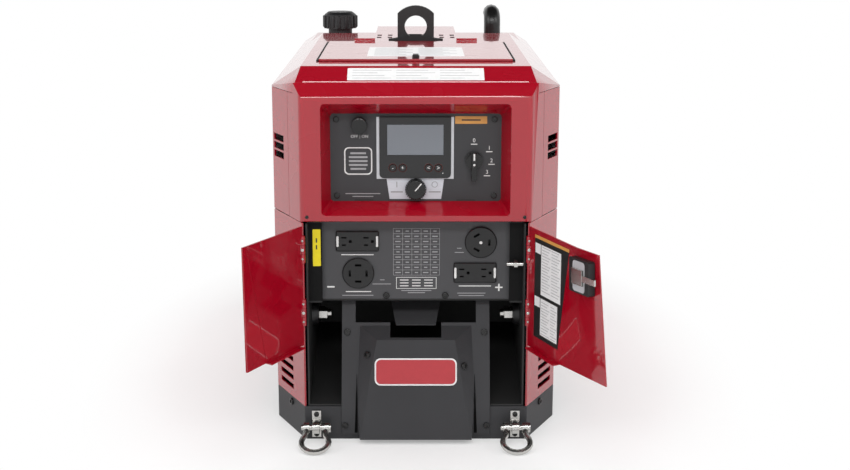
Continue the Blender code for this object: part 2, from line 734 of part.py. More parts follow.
def make_control_panel():
    margin = SHEET * 2
    panel = box((-PANEL_WIDTH / 2 - margin, FACE, PANEL_BOTTOM - margin),
                (PANEL_WIDTH / 2 + margin, FACE + SHEET, PANEL_TOP + margin))
    for place in (CHOKE, SELECT, SWITCH):
        cut(panel, front_disc(KNOB_SHAFT + FIT * 2, place, FACE + SHEET * 2, FACE - SHEET))
    adopt(panel, "control_panel", GREY_PANEL)

    rear = FACE - FIT
    front = rear - DISPLAY_THICKNESS
    (left, bottom), (right, top) = DISPLAY
    outline = [(right, top), (left, top)]
    steps = 5
    for centre, start in ((left + DISPLAY_CORNER, math.pi), (right - DISPLAY_CORNER, math.pi * 1.5)):
        for step in range(steps + 1):
            angle = start + math.pi / 2 * step / steps
            outline.append((centre + DISPLAY_CORNER * math.cos(angle),
                            bottom + DISPLAY_CORNER + DISPLAY_CORNER * math.sin(angle)))
    bezel = plate(outline, front, rear, "Y")
    soften(bezel, 0.0012, 1)
    pocket = 0.002
    cut(bezel, box((SCREEN[0][0], front - pocket, SCREEN[0][1]),
                   (SCREEN[1][0], front + pocket, SCREEN[1][1])))
    for x in BUTTON_XS:
        cut(bezel, front_disc(BUTTON_RADIUS + FIT * 1.5, (x, BUTTON_Z), rear + SHEET, front - SHEET))
    adopt(bezel, "display_bezel", BLACK_PLASTIC)
    screen = box((SCREEN[0][0] + FIT, front + FIT, SCREEN[0][1] + FIT),
                 (SCREEN[1][0] - FIT, front + pocket - FIT, SCREEN[1][1] - FIT))
    adopt(screen, "display_screen", SCREEN_GLASS)
    for number, x in enumerate(BUTTON_XS, 1):
        button = front_disc(BUTTON_RADIUS, (x, BUTTON_Z), rear - BUTTON_TRAVEL - FIT, front - 0.0018, 20)
        soften(button, 0.0006, 1)
        adopt(button, "display_button_%d" % number, BLACK_PLASTIC)


def make_knobs():
    start = FACE - FIT
    bite = 0.004
    inside = FACE + 0.010
    select_height = 0.016
    select = front_disc(0.018, SELECT, start, start - select_height, 28, 0.0165)
    soften(select, 0.0015)
    join(select, front_disc(KNOB_SHAFT, SELECT, inside, start - bite, 16))
    adopt(select, "select_knob", BLACK_PLASTIC)

    hub_height = 0.007
    switch = front_disc(0.015, SWITCH, start, start - hub_height, 28)
    grip = 0.0045
    grip_height = 0.015
    pointer = 0.0345
    heel = 0.013
    join(switch, box((SWITCH[0] - grip, start - grip_height, SWITCH[1] - pointer),
                     (SWITCH[0] + grip, start - bite / 2, SWITCH[1] + heel)))
    join(switch, front_disc(KNOB_SHAFT, SWITCH, inside, start - bite, 16))
    adopt(switch, "engine_switch", BLACK_PLASTIC)

    collar = 0.006
    choke_height = 0.018
    rod_inside = FACE + 0.045
    choke = front_disc(0.014, CHOKE, start - collar, start - choke_height, 28)
    soften(choke, 0.002)
    join(choke, front_disc(0.008, CHOKE, start, start - collar - bite, 20),
         front_disc(KNOB_SHAFT, CHOKE, rod_inside, start - bite, 16))
    adopt(choke, "choke_knob", BLACK_PLASTIC)


OUTLET_FACE = back(OUTPUT_DEPTH) + FIT
DUPLEXES = (("duplex_receptacle_left", -0.1005, 0.348), ("duplex_receptacle_right", 0.1024, 0.292))
ROUNDS = (("round_receptacle_left", -0.0994, 0.291, 4), ("round_receptacle_right", 0.1119, 0.346, 3))
DUPLEX_SIZE = (0.074, 0.036)
DUPLEX_BODY = (0.060, 0.030)
ROUND_RADIUS = 0.0276
ROUND_BODY = 0.022
OUTLET_BODY_DEPTH = 0.030
BLADE = 0.0026
BLADE_SPREAD = 0.0065
SOCKET_SPREAD = 0.019
EARTH_STEP = 0.007
EARTH_HOLE = 0.005
CONTACT_DEPTH = 0.008
POLE_CIRCLE = 0.0145
POLE_SLOT = (0.004, 0.011)


def slot_at(x, z, width, height, depth):
    """A cutter for a contact slot in a receptacle's face."""
    return box((x - width / 2, OUTLET_FACE - 0.010, z - height / 2),
               (x + width / 2, OUTLET_FACE + depth, z + height / 2))


def make_output_panel():
    top = SEAM_HEIGHT - BAY_SETBACK
    panel = box((-BAY_HALF, OUTLET_FACE, OUTPUT_BOTTOM + FIT), (BAY_HALF, OUTLET_FACE + SHEET, top))
    proud = 0.004
    front = OUTLET_FACE - FIT
    for name, x, z in DUPLEXES:
        half = Vector(DUPLEX_BODY) / 2
        wide = half + Vector((FIT, FIT)) * 2
        cut(panel, box((x - wide.x, OUTLET_FACE - SHEET, z - wide.y),
                       (x + wide.x, OUTLET_FACE + SHEET * 2, z + wide.y)))
        outer = Vector(DUPLEX_SIZE) / 2
        outlet = box((x - outer.x, front - proud, z - outer.y), (x + outer.x, front, z + outer.y))
        soften(outlet, 0.0018, 1)
        join(outlet, box((x - half.x, front - proud / 2, z - half.y),
                         (x + half.x, OUTLET_FACE + OUTLET_BODY_DEPTH, z + half.y)))
        for side in (-1, 1):
            centre = x + side * SOCKET_SPREAD
            blade_x = centre - 0.004
            cut(outlet, slot_at(blade_x, z + BLADE_SPREAD, 0.009, BLADE, CONTACT_DEPTH),
                slot_at(blade_x, z - BLADE_SPREAD, 0.007, BLADE, CONTACT_DEPTH),
                slot_at(centre + EARTH_STEP, z, EARTH_HOLE, EARTH_HOLE, CONTACT_DEPTH))
        adopt(outlet, name, BLACK_PLASTIC)
    for name, x, z, poles in ROUNDS:
        cut(panel, front_disc(ROUND_BODY + FIT * 2, (x, z), OUTLET_FACE + SHEET * 2, OUTLET_FACE - SHEET))
        outlet = front_disc(ROUND_RADIUS, (x, z), front, front - proud, 32)
        soften(outlet, 0.0015, 1)
        join(outlet, front_disc(ROUND_BODY, (x, z), OUTLET_FACE + OUTLET_BODY_DEPTH, front - 0.002, 28))
        for pole in range(poles):
            angle = math.tau * pole / poles
            blade = slot_at(0, 0, POLE_SLOT[0], POLE_SLOT[1], CONTACT_DEPTH)
            blade.data.transform(Matrix.Translation((POLE_CIRCLE, 0, 0)))
            blade.data.transform(Matrix.Rotation(angle, 4, "Y"))
            blade.data.transform(Matrix.Translation((x, 0, z)))
            cut(outlet, blade)
        adopt(outlet, name, BLACK_PLASTIC)
    adopt(panel, "output_panel", GREY_PANEL)


def make_studs():
    wall = BAY_HALF - SHEET - FIT
    y = back(STUD_DEPTH)
    z = STUD_HEIGHT
    cushion = 0.011
    stud_radius = 0.007
    stud_reach = 0.022
    nut_length = 0.015
    for side, hand in ((-1, "left"), (1, "right")):
        insulator = rod(0.022, (side * wall, y, z), (side * (wall - cushion), y, z), 24, 0.018)
        cut(insulator, rod(stud_radius + TUCK, (side * (wall + FIT), y, z),
                           (side * (wall - cushion * 2), y, z), 20))
        adopt(insulator, "stud_insulator_" + hand, BLACK_PLASTIC)
        nut = wall - cushion - FIT
        stud = rod(stud_radius, (side * wall, y, z), (side * (nut - stud_reach), y, z), 20)
        join(stud, rod(0.0125, (side * nut, y, z), (side * (nut - nut_length), y, z), 6))
        adopt(stud, "weld_stud_" + hand, STAINLESS)
    y = back(GROUND_DEPTH)
    z = GROUND_HEIGHT
    ground = rod(0.004, (wall, y, z), (wall - 0.028, y, z), 16)
    join(ground, rod(0.0075, (wall - 0.010, y, z), (wall - 0.016, y, z), 6))
    adopt(ground, "ground_stud", STAINLESS)


def bend_reach(z):
    """Distance from a door's hinge to its slanted bend line, at a height."""
    share = (z - DOOR_BOTTOM) / (DOOR_TOP - DOOR_BOTTOM)
    return DOOR_MAIN_BOTTOM + (DOOR_MAIN_TOP - DOOR_MAIN_BOTTOM) * share


def flap_offset(reach, z):
    """How far the right door's flap stands forward of its main sheet."""
    return -FLAP_BEND * (reach - bend_reach(z))


def door_sheet(edge_top, edge_bottom, bent):
    """A door in its closed plane, its hinge edge on X = 0, reaching to +X."""
    start = KNUCKLE_RADIUS * 0.5
    tops = [start, DOOR_MAIN_TOP, DOOR_MAIN_TOP + edge_top]
    lows = [start, DOOR_MAIN_BOTTOM, DOOR_MAIN_BOTTOM + edge_bottom]
    flange = 0.012
    clear = 0.014
    shape = bmesh.new()

    def point(x, z, deeper=0.0):
        lean = flap_offset(x, z) if bent and x > bend_reach(z) + FIT else 0.0
        return shape.verts.new((x, lean + deeper, z))

    upper = [point(x, DOOR_TOP) for x in tops]
    inset = point(clear, DOOR_BOTTOM)
    lower = [point(x, DOOR_BOTTOM) for x in lows]
    turned_in = [point(clear, DOOR_BOTTOM, flange), point(lows[1], DOOR_BOTTOM, flange)]
    shape.faces.new((lower[0], inset, lower[1], upper[1], upper[0]))
    shape.faces.new((lower[1], lower[2], upper[2], upper[1]))
    shape.faces.new((inset, turned_in[0], turned_in[1], lower[1]))
    mesh = bpy.data.meshes.new("door")
    shape.to_mesh(mesh)
    shape.free()
    door = bpy.data.objects.new("door", mesh)
    bpy.context.scene.collection.objects.link(door)
    skin = door.modifiers.new("Solidify", "SOLIDIFY")
    skin.thickness = DOOR_SHEET
    skin.offset = 0
    return bake(door)


def make_doors():
    kinds = ((-1, "left", LEFT_LIP, LEFT_OPEN), (1, "right", RIGHT_FLAP, RIGHT_OPEN))
    for side, hand, edge, opened in kinds:
        door = door_sheet(edge[0], edge[1], side > 0)
        for height in HINGE_HEIGHTS:
            room = KNUCKLE / 2 + FIT * 2
            around = KNUCKLE_RADIUS * 2
            cut(door, box((-around, -around, height - room), (HINGE_NOTCH, around, height + room)))
            for step in (-1, 1):
                ends = sorted((height + step * room, height + step * (room + KNUCKLE)))
                join(door, rod(KNUCKLE_RADIUS, (0, 0, ends[0]), (0, 0, ends[1]), 16))
        bore = HINGE_PIN_RADIUS + FIT
        cut(door, rod(bore, (0, 0, DOOR_BOTTOM - SHEET), (0, 0, DOOR_TOP + SHEET), 16))
        pieces = [adopt(door, hand + "_door", RED_PAINT)]
        if side > 0:
            pieces += make_latch()
        for piece in pieces:
            if side > 0:
                piece.data.transform(Matrix.Scale(-1, 4, (1, 0, 0)))
                piece.data.flip_normals()
            turn = Matrix.Rotation(side * opened, 4, "Z")
            place = Matrix.Translation((side * DOOR_AXIS_X, DOOR_AXIS_Y, 0))
            piece.matrix_world = place @ turn
        x = side * DOOR_AXIS_X
        low = HINGE_HEIGHTS[0] - KNUCKLE * 1.5 - FIT * 2
        high = HINGE_HEIGHTS[1] + KNUCKLE * 1.5 + FIT * 2
        pin = rod(HINGE_PIN_RADIUS, (x, DOOR_AXIS_Y, low), (x, DOOR_AXIS_Y, high), 12)
        adopt(pin, hand + "_hinge_pin", STAINLESS)


LATCH_REACH = 0.180
LATCH_HEIGHT = 0.343
LATCH_SIZE = (0.050, 0.056)
LATCH_DEPTH = 0.012


def make_latch():
    """The latch's case and lever, on the inside of the right door's flap, door closed."""
    seat = DOOR_SHEET / 2 + FIT

    def slab(half_x, half_z, low, high):
        points = []
        for dx in (-half_x, half_x):
            for dz in (-half_z, half_z):
                x = LATCH_REACH + dx
                z = LATCH_HEIGHT + dz
                for rise in (low, high):
                    points.append((x, flap_offset(x, z) + seat + rise, z))
        return hull(points)

    case = slab(LATCH_SIZE[0] / 2, LATCH_SIZE[1] / 2, 0, LATCH_DEPTH)
    soften(case, 0.002, 1)
    adopt(case, "latch_case", BLACK_PLASTIC)
    lever_low = LATCH_DEPTH + FIT
    lever_depth = 0.004
    hub = 0.013
    reach = 0.022
    arm_half = 0.005
    lever = slab(hub, hub, lever_low, lever_low + lever_depth)
    arm = slab(reach, arm_half, lever_low + FIT, lever_low + lever_depth - TUCK)
    arm.data.transform(Matrix.Translation((reach, -FLAP_BEND * reach, 0)))
    join(lever, arm)
    adopt(lever, "latch_lever", STAINLESS)
    return [case, lever]


def bow_points():
    """The middle line of a shackle's bow, lying along -Y from its pin."""
    centre = BOW_REACH - BOW_HALF
    neck = 0.010
    points = [(EAR_HALF, 0, 0), (EAR_HALF, -neck, 0)]
    steps = 14
    for step in range(steps + 1):
        angle = math.radians(-40 + 260 * step / steps)
        points.append((BOW_HALF * math.cos(angle), -centre - BOW_HALF * math.sin(angle), 0))
    return points + [(-EAR_HALF, -neck, 0), (-EAR_HALF, 0, 0)]


def tube(points, radius, roundness=2):
    """A round bar along some points, as a closed mesh."""
    curve = bpy.data.curves.new("bar", "CURVE")
    curve.dimensions = "3D"
    curve.bevel_depth = radius
    curve.bevel_resolution = roundness
    curve.use_fill_caps = True
    spline = curve.splines.new("POLY")
    spline.points.add(len(points) - 1)
    for point, place in zip(spline.points, points):
        point.co = (*place, 1)
    drawn = bpy.data.objects.new("bar", curve)
    bpy.context.scene.collection.objects.link(drawn)
    bpy.context.view_layer.update()
    mesh = bpy.data.meshes.new_from_object(
        drawn.evaluated_get(bpy.context.evaluated_depsgraph_get()))
    bpy.data.objects.remove(drawn, do_unlink=True)
    shape = bmesh.new()
    shape.from_mesh(mesh)
    bmesh.ops.remove_doubles(shape, verts=shape.verts, dist=1e-6)
    bmesh.ops.recalc_face_normals(shape, faces=shape.faces)
    shape.to_mesh(mesh)
    shape.free()
    made = bpy.data.objects.new("bar", mesh)
    bpy.context.scene.collection.objects.link(made)
    return made


PIN_Y = back(PIN_DEPTH)
BOW_DROOP = math.asin((PIN_HEIGHT - BOW_WIRE - FIT) / BOW_REACH)


def make_shackles():
    eye = SHACKLE_PIN_RADIUS + 0.001
    for side, hand in ((-1, "left"), (1, "right")):
        x = side * PAD_X
        half = PAD_WIDTH / 2
        pad_rear = FRONT - FIT
        pad = box((x - half, pad_rear - PAD_SHEET, PAD_HEIGHTS[0]), (x + half, pad_rear, PAD_HEIGHTS[1]))
        ear = LUG_WIDTH / 2
        lug = rod(LUG_RADIUS, (x - ear, PIN_Y, PIN_HEIGHT), (x + ear, PIN_Y, PIN_HEIGHT), 24)
        join(pad, lug, box((x - ear, PIN_Y, PIN_HEIGHT - LUG_RADIUS),
                           (x + ear, pad_rear - 0.001, PIN_HEIGHT + LUG_RADIUS)))
        cut(pad, rod(eye, (x - LUG_WIDTH, PIN_Y, PIN_HEIGHT), (x + LUG_WIDTH, PIN_Y, PIN_HEIGHT), 20))
        adopt(pad, "pad_eye_" + hand, STAINLESS)

        bow = tube(bow_points(), BOW_WIRE)
        for end in (-1, 1):
            inner = end * (EAR_HALF - BOW_WIRE)
            outer = end * (EAR_HALF + BOW_WIRE)
            join(bow, rod(EAR_RADIUS, (inner, 0, 0), (outer, 0, 0), 20))
        cut(bow, rod(SHACKLE_PIN_RADIUS + FIT, (-BOW_HALF * 2, 0, 0), (BOW_HALF * 2, 0, 0), 20))
        bow.data.transform(Matrix.Rotation(BOW_DROOP, 4, "X"))
        bow.matrix_world = Matrix.Translation((x, PIN_Y, PIN_HEIGHT))
        adopt(bow, "shackle_bow_" + hand, STAINLESS)

        reach = EAR_HALF + BOW_WIRE
        head = 0.004
        pin = rod(SHACKLE_PIN_RADIUS, (-reach - head, 0, 0), (reach + head / 2, 0, 0), 16)
        join(pin, rod(PIN_HEAD_RADIUS, (reach + FIT, 0, 0), (reach + head, 0, 0), 20))
        pin.matrix_world = Matrix.Translation((x, PIN_Y, PIN_HEIGHT))
        adopt(pin, "shackle_pin_" + hand, STAINLESS)


NECK_TOP = ROOF_HEIGHT - 0.002


def make_fuel():
    low, top = TANK_HEIGHTS
    near, far = (back(depth) for depth in TANK_DEPTHS)
    tank = box((-HALF + SHEET + FIT, near, low), (TANK_RIGHT, far, top))
    soften(tank, 0.016)
    neck = (CAP_X, back(CAP_DEPTH))
    mouth = 0.010
    join(tank, rod(NECK_RADIUS, (*neck, top - mouth * 2), (*neck, NECK_TOP), 24))
    cut(tank, rod(NECK_RADIUS - SHEET, (*neck, top - mouth), (*neck, NECK_TOP + SHEET), 24))
    adopt(tank, "fuel_tank", BLACK_PLASTIC)

    ribs = 12
    under = NECK_TOP + FIT
    cap = turned([(0, CAP_TOP), (CAP_RADIUS - 0.010, CAP_TOP), (CAP_RADIUS - 0.002, CAP_TOP - 0.006),
                  (CAP_RADIUS, under), (0, under)], ribs * 3)
    for rib in range(ribs):
        angle = math.tau * rib / ribs
        place = Vector((math.cos(angle), math.sin(angle), 0)) * (CAP_RADIUS + 0.0025)
        cut(cap, rod(0.005, place + Vector((0, 0, under - SHEET)), place + Vector((0, 0, CAP_TOP)), 10))
    cap.matrix_world = Matrix.Translation((*neck, 0))
    adopt(cap, "fuel_cap", BLACK_PLASTIC)


CYLINDER_X = 0.058
CYLINDER_SIZE = 0.090
CYLINDER_TOP = 0.430
FIN_PITCH = 0.012
STATOR_FRONT = 0.330
FAN_RADIUS = 0.100
FAN_DISC = 0.010
VANE = (0.003, 0.030, 0.055)
VANE_FOOT = 0.040
EXHAUST_DEPTH = 0.690


def make_engine():
    floor = SHEET + FIT
    axle = (0, 0, SHAFT_HEIGHT)
    near = back(ENGINE_FRONT)
    far = back(ENGINE_FRONT + ENGINE_LENGTH)
    block = box((-ENGINE_WIDTH / 2, near, floor), (ENGINE_WIDTH / 2, far, ENGINE_TOP))
    soften(block, 0.012)
    past = 0.010
    cut(block, rod(SHAFT_RADIUS + FIT * 2, (0, near - past, SHAFT_HEIGHT),
                   (0, far + past, SHAFT_HEIGHT), 24))
    adopt(block, "engine_block", CAST_ALLOY)

    for side, hand in ((-1, "left"), (1, "right")):
        half = CYLINDER_SIZE / 2
        x = side * CYLINDER_X
        y = back(EXHAUST_DEPTH)
        low = ENGINE_TOP + FIT
        cylinder = box((x - half, y - half, low), (x + half, y + half, CYLINDER_TOP))
        core = half * 0.72
        for fin in range(5):
            z = low + FIN_PITCH * (fin + 1)
            groove = z + FIN_PITCH / 2
            ring = box((x - half * 2, y - half * 2, z), (x + half * 2, y + half * 2, groove))
            cut(ring, box((x - core, y - core, z - SHEET), (x + core, y + core, groove + SHEET)))
            cut(cylinder, ring)
        adopt(cylinder, "cylinder_" + hand, CAST_ALLOY)

    stator_start = back(STATOR_FRONT)
    stator = rod(STATOR_RADIUS, (0, stator_start, SHAFT_HEIGHT), (0, near - FIT, SHAFT_HEIGHT), 32)
    bore = ROTOR_RADIUS + AIR_GAP
    cut(stator, rod(bore, (0, stator_start - SHEET, SHAFT_HEIGHT), (0, near + SHEET, SHAFT_HEIGHT), 32))
    adopt(stator, "alternator_stator", CAST_ALLOY)

    rotor_start = stator_start + 0.010
    rotor_end = near - 0.012
    rotor = rod(ROTOR_RADIUS, (0, rotor_start, SHAFT_HEIGHT), (0, rotor_end, SHAFT_HEIGHT), 32)
    cut(rotor, rod(SHAFT_RADIUS + FIT, (0, rotor_start - SHEET, SHAFT_HEIGHT),
                   (0, rotor_end + SHEET, SHAFT_HEIGHT), 24))
    adopt(rotor, "alternator_rotor", LAMINATION)

    shaft = rod(SHAFT_RADIUS, (0, rotor_start - 0.006, SHAFT_HEIGHT), (0, far + 0.030, SHAFT_HEIGHT), 24)
    fan_start = far + 0.004
    fan_end = fan_start + FAN_DISC
    join(shaft, rod(FAN_RADIUS, (0, fan_start, SHAFT_HEIGHT), (0, fan_end, SHAFT_HEIGHT), 32))
    vanes = 8
    vane_start = fan_start + FAN_DISC / 2
    for blade in range(vanes):
        vane = box((-VANE[0] / 2, vane_start, VANE_FOOT),
                   (VANE[0] / 2, vane_start + VANE[1], VANE_FOOT + VANE[2]))
        vane.data.transform(Matrix.Rotation(math.tau * blade / vanes, 4, "Y"))
        vane.data.transform(Matrix.Translation(axle))
        join(shaft, vane)
    adopt(shaft, "crankshaft_fan", CAST_ALLOY)


def make_exhaust():
    can_z = 0.535
    can_radius = 0.042
    can_start = back(0.615)
    can_end = back(0.832)
    y_port = back(EXHAUST_DEPTH)
    muffler = rod(can_radius, (PIPE_X, can_start, can_z), (PIPE_X, can_end, can_z), 24)
    port = CYLINDER_X + CYLINDER_SIZE / 2 + FIT
    port_z = CYLINDER_TOP - 0.015
    bend = 0.030
    header = [(port, y_port, port_z)]
    for step in range(5):
        angle = math.pi / 2 * step / 4
        header.append((PIPE_X - bend + bend * math.sin(angle), y_port,
                       port_z + bend - bend * math.cos(angle)))
    header.append((PIPE_X, y_port, can_z))
    join(muffler, tube(header, 0.012))
    elbow = 0.022
    top = PIPE_TOP - PIPE_RADIUS
    tail = [(PIPE_X, back(PIPE_DEPTH), can_z), (PIPE_X, back(PIPE_DEPTH), top - elbow)]
    bends = 8
    for step in range(1, bends + 1):
        angle = math.pi / 2 * step / bends
        tail.append((PIPE_X, back(PIPE_DEPTH) + elbow - elbow * math.cos(angle),
                     top - elbow + elbow * math.sin(angle)))
    pipe_end = REAR - 0.002
    tail.append((PIPE_X, pipe_end, top))
    pipe = tube(tail, PIPE_RADIUS, 4)
    mouth = PIPE_RADIUS - 0.002
    open_length = 0.018
    cut(pipe, rod(mouth, (PIPE_X, pipe_end - open_length, top), (PIPE_X, REAR + SHEET, top), 24),
        rod(can_radius + FIT, (PIPE_X, can_start - SHEET, can_z), (PIPE_X, can_end + SHEET, can_z), 24))
    adopt(muffler, "muffler", BLACK_PLASTIC)
    adopt(pipe, "exhaust_pipe", BLACK_PLASTIC)


def make_electrics():
    floor = SHEET + FIT
    near = back(BAY_DEPTH + 0.012)
    far = back(ELECTRICS_REAR)
    inside = HALF - SHEET - FIT
    battery = box((-inside, near, floor), (-ELECTRICS_INNER, far, BATTERY_TOP))
    soften(battery, 0.004, 1)
    post_inset = 0.030
    post_x = -ELECTRICS_INNER - 0.025
    for y in (near + post_inset, far - post_inset):
        join(battery, rod(0.008, (post_x, y, BATTERY_TOP - 0.005), (post_x, y, BATTERY_TOP + 0.015), 16))
    adopt(battery, "battery", BLACK_PLASTIC)
    inverter = box((ELECTRICS_INNER, near, floor), (inside, far, INVERTER_TOP))
    groove = 0.010
    groove_depth = 0.020
    groove_pitch = 0.021
    first = near + 0.014
    for fin in range(7):
        y = first + fin * groove_pitch
        cut(inverter, box((ELECTRICS_INNER - groove, y, floor + groove),
                          (ELECTRICS_INNER + groove_depth, y + groove, INVERTER_TOP + groove)))
    adopt(inverter, "inverter_module", CAST_ALLOY)


make_base()
make_console()
make_cable_bay()
make_side_panels()
make_bezel()
make_roof()
make_roof_lid()
make_lift()
make_rear_panel()
make_control_panel()
make_knobs()
make_output_panel()
make_studs()
make_doors()
make_shackles()
make_fuel()
make_engine()
make_exhaust()
make_electrics()

for part in parts.objects:
    part.data.shade_smooth()
    part.data.set_sharp_from_angle(angle=math.radians(32))
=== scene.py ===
# %% [markdown]
# # An engine driven welder, from frame to finish
# The imported model gives every piece its place and its size, and this lesson gives each its
# looks. The first cell loads that frame.

import json
import math

import bpy
from mathutils import Matrix, Vector

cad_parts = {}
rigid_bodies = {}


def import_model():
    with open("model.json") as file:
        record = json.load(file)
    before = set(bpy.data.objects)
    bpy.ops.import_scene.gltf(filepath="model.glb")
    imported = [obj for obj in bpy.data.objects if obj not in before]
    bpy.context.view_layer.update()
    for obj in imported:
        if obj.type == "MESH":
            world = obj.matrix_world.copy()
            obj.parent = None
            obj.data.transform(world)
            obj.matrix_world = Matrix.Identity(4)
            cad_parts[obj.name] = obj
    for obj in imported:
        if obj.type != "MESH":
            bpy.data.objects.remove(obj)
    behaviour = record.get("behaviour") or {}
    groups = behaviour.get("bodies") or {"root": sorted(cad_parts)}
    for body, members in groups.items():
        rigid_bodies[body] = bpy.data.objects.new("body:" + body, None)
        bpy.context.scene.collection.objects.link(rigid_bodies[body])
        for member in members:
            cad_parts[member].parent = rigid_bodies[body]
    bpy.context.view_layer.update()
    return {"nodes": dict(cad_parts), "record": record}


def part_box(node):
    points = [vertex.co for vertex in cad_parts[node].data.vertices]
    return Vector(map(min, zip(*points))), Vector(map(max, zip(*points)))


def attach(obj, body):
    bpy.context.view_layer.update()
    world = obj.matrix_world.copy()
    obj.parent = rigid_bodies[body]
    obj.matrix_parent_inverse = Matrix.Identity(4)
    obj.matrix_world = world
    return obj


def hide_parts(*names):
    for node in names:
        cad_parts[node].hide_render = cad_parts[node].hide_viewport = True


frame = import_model()
record = frame["record"]
bodies = record["behaviour"]["bodies"]
body_of = {node: body for body, nodes in bodies.items() for node in nodes}
pivot_of = {joint["child"]: joint.get("pos_m") for joint in record["behaviour"]["joints"]}
BODY = "enclosure"

# %% [markdown]
# ## Floor, light and camera
# A catalogue picture has a white surround: the floor runs into a white world. One wide strip of
# light above the camera draws a bright line along every rolled edge, and softer lamps open the
# sides and the back. The camera stands at the height of a person's chest and looks a little
# down, which shows the roof as a narrow band.

# %% Floor, lamps and camera
scene = bpy.context.scene
scene.view_settings.view_transform = "Standard"


def named(name):
    """The object that was added last, with its name."""
    piece = bpy.context.object
    piece.name = name
    return piece


FLOOR_SIZE = 24.0
bpy.ops.mesh.primitive_plane_add(size=FLOOR_SIZE, location=(0, 0, 0))
floor = named("studio_floor")

CAMERA_PLACE = (-0.0005, -2.656, 0.9275)
CAMERA_PITCH = math.radians(11.95)
CAMERA_LENS = 57.5
CAMERA_SENSOR = 36.0
CAMERA_SHIFT = (0.0112, -0.06)
bpy.ops.object.camera_add(location=CAMERA_PLACE, rotation=(math.pi / 2 - CAMERA_PITCH, 0, 0))
camera = bpy.context.object
camera.data.lens = CAMERA_LENS
camera.data.sensor_width = CAMERA_SENSOR
camera.data.shift_x, camera.data.shift_y = CAMERA_SHIFT
scene.camera = camera


def softbox(name, place, aim, size, watts, mirrored=True):
    """A square lamp that faces a point. One that isn't mirrored lights, but shows in no gloss."""
    bpy.ops.object.light_add(type="AREA", location=place)
    lamp = named(name)
    lamp.data.shape = "RECTANGLE"
    lamp.data.size, lamp.data.size_y = size
    lamp.data.energy = watts
    lamp.visible_glossy = mirrored
    lamp.rotation_euler = (Vector(aim) - Vector(place)).to_track_quat("-Z", "Y").to_euler()


softbox("front_strip", (0.0, -3.1, 2.45), (0, -0.3, 0.4), (3.4, 0.5), 50)
for name, x in (("left_softbox", -2.6), ("right_softbox", 2.6)):
    softbox(name, (x, -1.2, 1.9), (0, -0.1, 0.35), (1.4, 1.4), 16)
softbox("rear_softbox", (0.0, 2.6, 2.2), (0, 0.2, 0.35), (2.4, 1.2), 26, mirrored=False)
softbox("overhead_softbox", (0.0, -0.6, 2.6), (0, -0.2, 0.3), (2.2, 2.2), 20, mirrored=False)
print("camera", CAMERA_PLACE, "lens", CAMERA_LENS)

# %% [markdown]
# ## Shader maths as plain expressions
# A node tree is easier to read as a formula. This class wraps a socket, so that `1 - mask * 0.3`
# adds the Math nodes it needs, and one method makes most other kinds of node.

# %% A socket that can be added and multiplied


class Wire:
    """An output socket with arithmetic."""

    def __init__(self, tree, socket):
        self.tree = tree
        self.socket = socket

    def maths(self, operation, first, second):
        made = self.tree.nodes.new("ShaderNodeMath")
        made.operation = operation
        put(made.inputs[0], first)
        put(made.inputs[1], second)
        return Wire(self.tree, made.outputs[0])

    def __add__(self, other):
        return self.maths("ADD", self, other)

    __radd__ = __add__

    def __sub__(self, other):
        return self.maths("SUBTRACT", self, other)

    def __rsub__(self, other):
        return self.maths("SUBTRACT", other, self)

    def __mul__(self, other):
        return self.maths("MULTIPLY", self, other)

    __rmul__ = __mul__

    def clipped(self, low=0.0, high=1.0):
        return self.maths("MINIMUM", self.maths("MAXIMUM", self, low), high)


def put(socket, value):
    """Give a socket a value, or link a wire to it."""
    if isinstance(value, Wire):
        value.tree.links.new(value.socket, socket)
    else:
        socket.default_value = value


def fill(sockets, values):
    """Fill the sockets that the keys name, with spaces for underscores."""
    for key, value in values.items():
        put(sockets[key.replace("_", " ")], value)


class Graph:
    """A node tree whose nodes are made one call at a time."""

    def __init__(self, tree):
        self.tree = tree

    def node(self, kind, settings=None, output=0, **inputs):
        made = self.tree.nodes.new(kind)
        for key, value in (settings or {}).items():
            setattr(made, key, value)
        fill(made.inputs, inputs)
        return Wire(self.tree, made.outputs[output])


class Finish(Graph):
    """A material with one surface shader."""

    def __init__(self, name):
        self.material = bpy.data.materials.new(name)
        self.material.use_nodes = True
        super().__init__(self.material.node_tree)
        self.shader = self.tree.nodes["Principled BSDF"]

    def set(self, **inputs):
        fill(self.shader.inputs, inputs)
        return self.material

    def place(self):
        return self.node("ShaderNodeTexCoord", output="Object")

    def noise(self, scale, detail):
        return self.node("ShaderNodeTexNoise", Vector=self.place(), Scale=scale, Detail=detail)

    def ramp(self, value, dark, light, ends=(0.0, 1.0)):
        """A colour that goes from dark to light between two values."""
        made = self.tree.nodes.new("ShaderNodeValToRGB")
        for element, position, colour in zip(made.color_ramp.elements, ends, (dark, light)):
            element.position = position
            element.color = (*colour, 1.0)
        put(made.inputs[0], value)
        return Wire(self.tree, made.outputs[0])

    def bump(self, height, strength, distance):
        return self.node("ShaderNodeBump", Height=height, Strength=strength, Distance=distance)


print("wires ready")

# %% [markdown]
# ## The white surround
# Lamps do the shaping, and the world fills in. The camera sees plain white, and gloss paint sees
# white at the horizon and a dark ceiling, which keeps the sloping faces a deep colour. The floor
# is a matt white oval round the object that keeps its shadow, and further out it turns into the
# same plain white as the world, so that no horizon shows.

